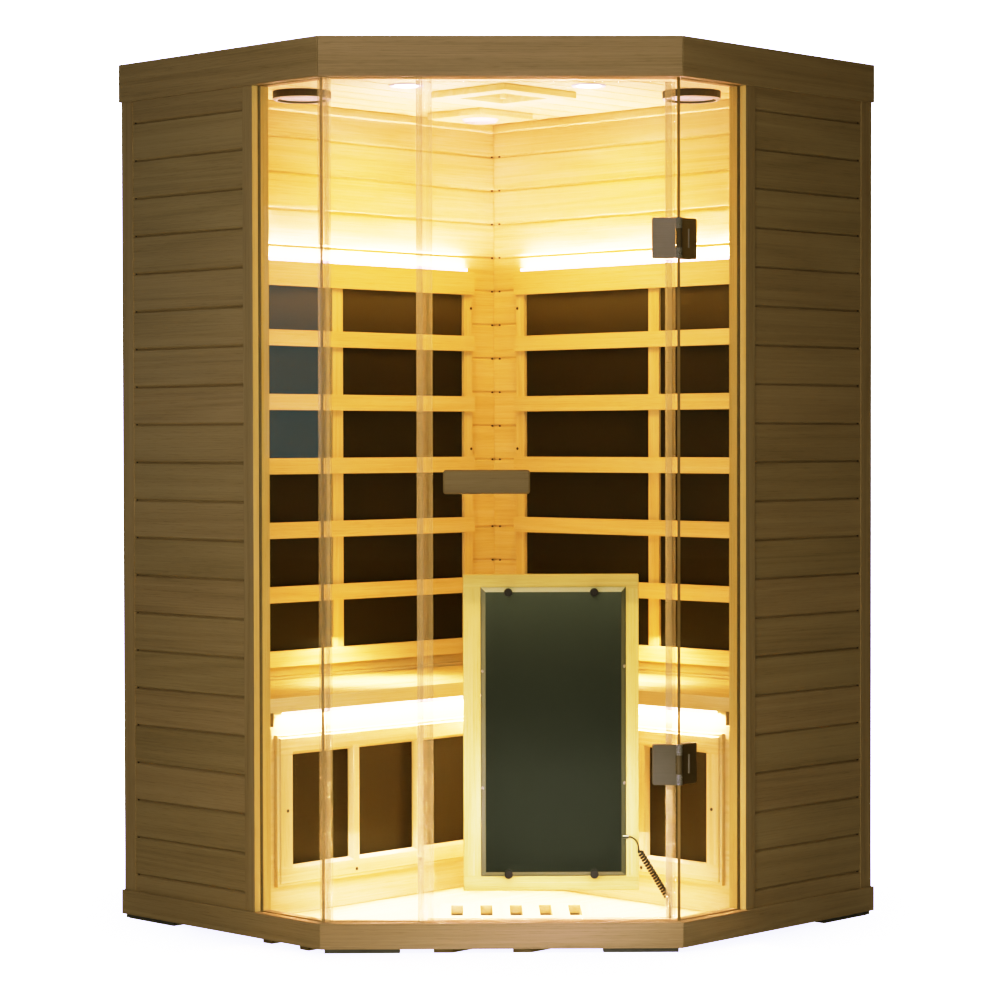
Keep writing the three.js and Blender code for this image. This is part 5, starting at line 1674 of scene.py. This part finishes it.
@dataclass
class Studio:
    """The set: camera, pale floor, white surround and soft boxes."""

    camera_place: Point = (-0.084872, -6.575249, 1.074020)
    yaw: float = 0.0139988
    pitch: float = -0.0212002
    roll: float = -0.0018676
    lens: float = 102.2794
    sensor: float = 36.0
    floor_size: float = 40.0
    ambient: float = 0.035
    ambient_tint: Colour = (1.0, 0.86, 0.62, 1)
    white: float = 6.0
    # Share of the floor's white glow kept near the object: a painted shade round it.
    near_white: float = 0.35
    sweep: Pair = (0.75, 1.25)
    brightest: float = 4.0
    shoulder: tuple[Pair, ...] = ((0.2, 0.2), (0.4, 0.39), (0.8, 0.665), (1.4, 0.84), (2.4, 0.945))
    green_curve: tuple[Pair, ...] = (
        (0.0244, 0.0224), (0.0656, 0.0607), (0.1325, 0.1185), (0.2375, 0.211), (0.349, 0.332), (0.5125, 0.512),
    )
    blue_curve: tuple[Pair, ...] = (
        (0.02, 0.0125), (0.0388, 0.0305), (0.0513, 0.0495), (0.0675, 0.077), (0.0963, 0.1275), (0.1325, 0.187),
        (0.176, 0.28), (0.3, 0.525),
    )
    lamps: tuple[SoftBox, ...] = field(
        default_factory=lambda: (
            SoftBox("front_softbox", (-0.45, -3.2, 1.3), (0.0, 0.0, 1.0), (1.6, 1.6), 17.0),
            SoftBox("near_softbox", (-0.2, -1.75, 1.0), (0.0, 0.0, 1.0), (1.0, 1.9), 14.0),
            SoftBox("top_softbox", (0.0, 0.0, 5.0), (0.0, 0.0, 0.0), (5.0, 5.0), 60.0),
            SoftBox("rear_softbox", (0.0, 5.0, 2.5), (0.0, 0.0, 1.0), (3.0, 3.0), 260.0),
            SoftBox("sweep_bounce", (-0.2, -1.3, 0.1), (-0.05, -0.65, 0.12), (1.0, 0.2), 0.32, (1.0, 0.90, 0.28)),
            SoftBox("cabin_fill", (0.0, -0.622, 0.95), (0.0, 1.0, 0.95), (0.66, 1.7), 0.8, (1.0, 0.50, 0.05)),
            SoftBox("low_fill", (0.0, -0.622, 0.40), (0.0, 1.0, 0.40), (0.66, 0.66), 0.9, (1.0, 0.66, 0.34)),
            SoftBox("ceiling_fill", (0.0, -0.1, 1.82), (0.0, -0.1, 0.0), (0.5, 0.5), 12.0, (1.0, 0.55, 0.14)),
            SoftBox("upward_fill", (0.0, -0.12, 1.70), (0.0, -0.12, 2.0), (0.6, 0.5), 4.2, (1.0, 0.82, 0.70)),
            SoftBox(
                "floor_fill", (0.0, -0.34, 0.20), (0.0, -0.34, 0.0), (0.8, 0.4), 5.4, (1.0, 0.80, 0.70), spread=125.0
            ),
            SoftBox("toe_fill", (0.0, -0.52, 0.10), (0.0, 0.4, 0.07), (0.8, 0.06), 1.3, (1.0, 0.76, 0.48)),
            SoftBox("door_glow", (0.11, -0.86, 0.29), (0.11, -0.6, 0.25), (0.44, 0.2), 2.3, (1.0, 1.0, 1.05)),
            SoftBox("fascia_card", (0.0, -1.3, 2.1), (0.0, -0.66, 1.89), (0.9, 0.12), 1.3, (1.0, 0.97, 1.12)),
            SoftBox("left_card", (-1.6, -1.9, 2.0), (-0.62, -0.4, 1.4), (0.8, 0.8), 1.8, (0.35, 0.5, 1.0)),
            SoftBox("left_bench_fill", (-0.27, -0.02, 0.61), (-0.27, -0.02, 0.0), (0.3, 0.3), 4.0, (1.0, 0.66, 0.34)),
            SoftBox("right_bench_fill", (0.27, -0.02, 0.61), (0.27, -0.02, 0.0), (0.3, 0.3), 4.0, (1.0, 0.66, 0.34)),
            SoftBox("window_card", (-3.0, -0.5, 1.4), (0.0, -0.5, 1.4), (2.4, 0.76), 4.0, (0.5, 1.0, 1.45), True),
        )
    )

    def build(self) -> None:
        """Sets up everything that isn't the object."""
        self.camera()
        self.floor()
        self.surround()
        for lamp in self.lamps:
            lamp.build()
        view = bpy.context.scene.view_settings
        view.view_transform = "Standard"
        view.look = "None"
        view.use_curve_mapping = True
        view.curve_mapping.white_level = (self.brightest,) * 3
        for bright, shown in self.shoulder:
            view.curve_mapping.curves[3].points.new(bright / self.brightest, shown)
        for curve, points in ((1, self.green_curve), (2, self.blue_curve)):
            for bright, shown in points:
                view.curve_mapping.curves[curve].points.new(bright, shown)
        view.curve_mapping.update()

    def camera(self) -> None:
        """The camera at the photograph's view."""
        lens = bpy.data.cameras.new("front_camera")
        lens.sensor_width = self.sensor
        lens.lens = self.lens
        lens.clip_end = 200.0
        thing = bpy.data.objects.new("front_camera", lens)
        bpy.context.scene.collection.objects.link(thing)
        ahead = Vector((
            math.sin(self.yaw) * math.cos(self.pitch), math.cos(self.yaw) * math.cos(self.pitch), math.sin(self.pitch)
        ))
        right = Vector((math.cos(self.yaw), -math.sin(self.yaw), 0))
        up = right.cross(ahead)
        level, steep = math.cos(self.roll), math.sin(self.roll)
        x, y = right * level + up * steep, up * level - right * steep
        matrix = Matrix((x, y, -ahead)).transposed().to_4x4()
        matrix.translation = self.camera_place
        thing.matrix_world = matrix
        bpy.context.scene.camera = thing

    def floor(self) -> None:
        """The pale floor, lit for the camera like a white sweep; its glow dims near the object, a painted shade round
        it over the lamps' real contact shadow.
        """
        bpy.ops.object.select_all(action="DESELECT")
        bpy.ops.mesh.primitive_plane_add(size=self.floor_size, location=(0, 0, 0))
        thing = bpy.context.object
        thing.name = "studio_floor"
        graph = Graph("studio_floor_paint")
        cloud = graph.noise(graph.place(), (2, 2, 2))
        pale = graph.ramp(cloud, [(0.3, (0.78, 0.78, 0.78, 1)), (0.7, (0.8, 0.8, 0.8, 1))])
        sight = graph.node("ShaderNodeLightPath").outputs
        paint = graph.shaded("BsdfDiffuse", Color=graph.mixed(sight["Is Glossy Ray"], pale, (0, 0, 0, 1)))
        seen = sight["Is Camera Ray"]
        away = graph.node("ShaderNodeVectorMath", {0: graph.place()}, operation="LENGTH").outputs["Value"]
        # Painted shade: the camera-only glow is dimmer near the object and rises to full white further out.
        level = graph.math("MULTIPLY", seen, graph.ranged(away, self.near_white * self.white, self.white, *self.sweep))
        glow = graph.shaded("Emission", Color=(1, 1, 1, 1), Strength=level)
        both = graph.node("ShaderNodeAddShader", {0: paint, 1: glow})
        thing.data.materials.append(graph.output(both.outputs[0]))

    def surround(self) -> None:
        """White all round for the camera, and a dim even light on the object."""
        world = bpy.data.worlds.new("studio_surround")
        world.use_nodes = True
        tree = world.node_tree
        back = tree.nodes["Background"]
        sight = tree.nodes.new("ShaderNodeLightPath")
        level = tree.nodes.new("ShaderNodeMapRange")
        level.inputs["To Min"].default_value = self.ambient
        level.inputs["To Max"].default_value = self.white
        tint = tree.nodes.new("ShaderNodeMix")
        tint.data_type = "RGBA"
        tint.inputs[6].default_value = self.ambient_tint
        tint.inputs[7].default_value = (1, 1, 1, 1)
        tree.links.new(sight.outputs["Is Camera Ray"], tint.inputs[0])
        tree.links.new(tint.outputs[2], back.inputs["Color"])
        tree.links.new(sight.outputs["Is Camera Ray"], level.inputs["Value"])
        tree.links.new(level.outputs[0], back.inputs["Strength"])
        bpy.context.scene.world = world


def main() -> None:
    """Builds the set and every sub-assembly, in order."""
    logging.basicConfig(level=logging.INFO, format="%(name)s: %(message)s")
    Studio().build()
    CurlyLead().build()
    Cabinet().build()
    Glazing().build()
    Seating().build()
    HeatedDoor().build()
    CeilingFittings().build()


if __name__ == "__main__":
    main()
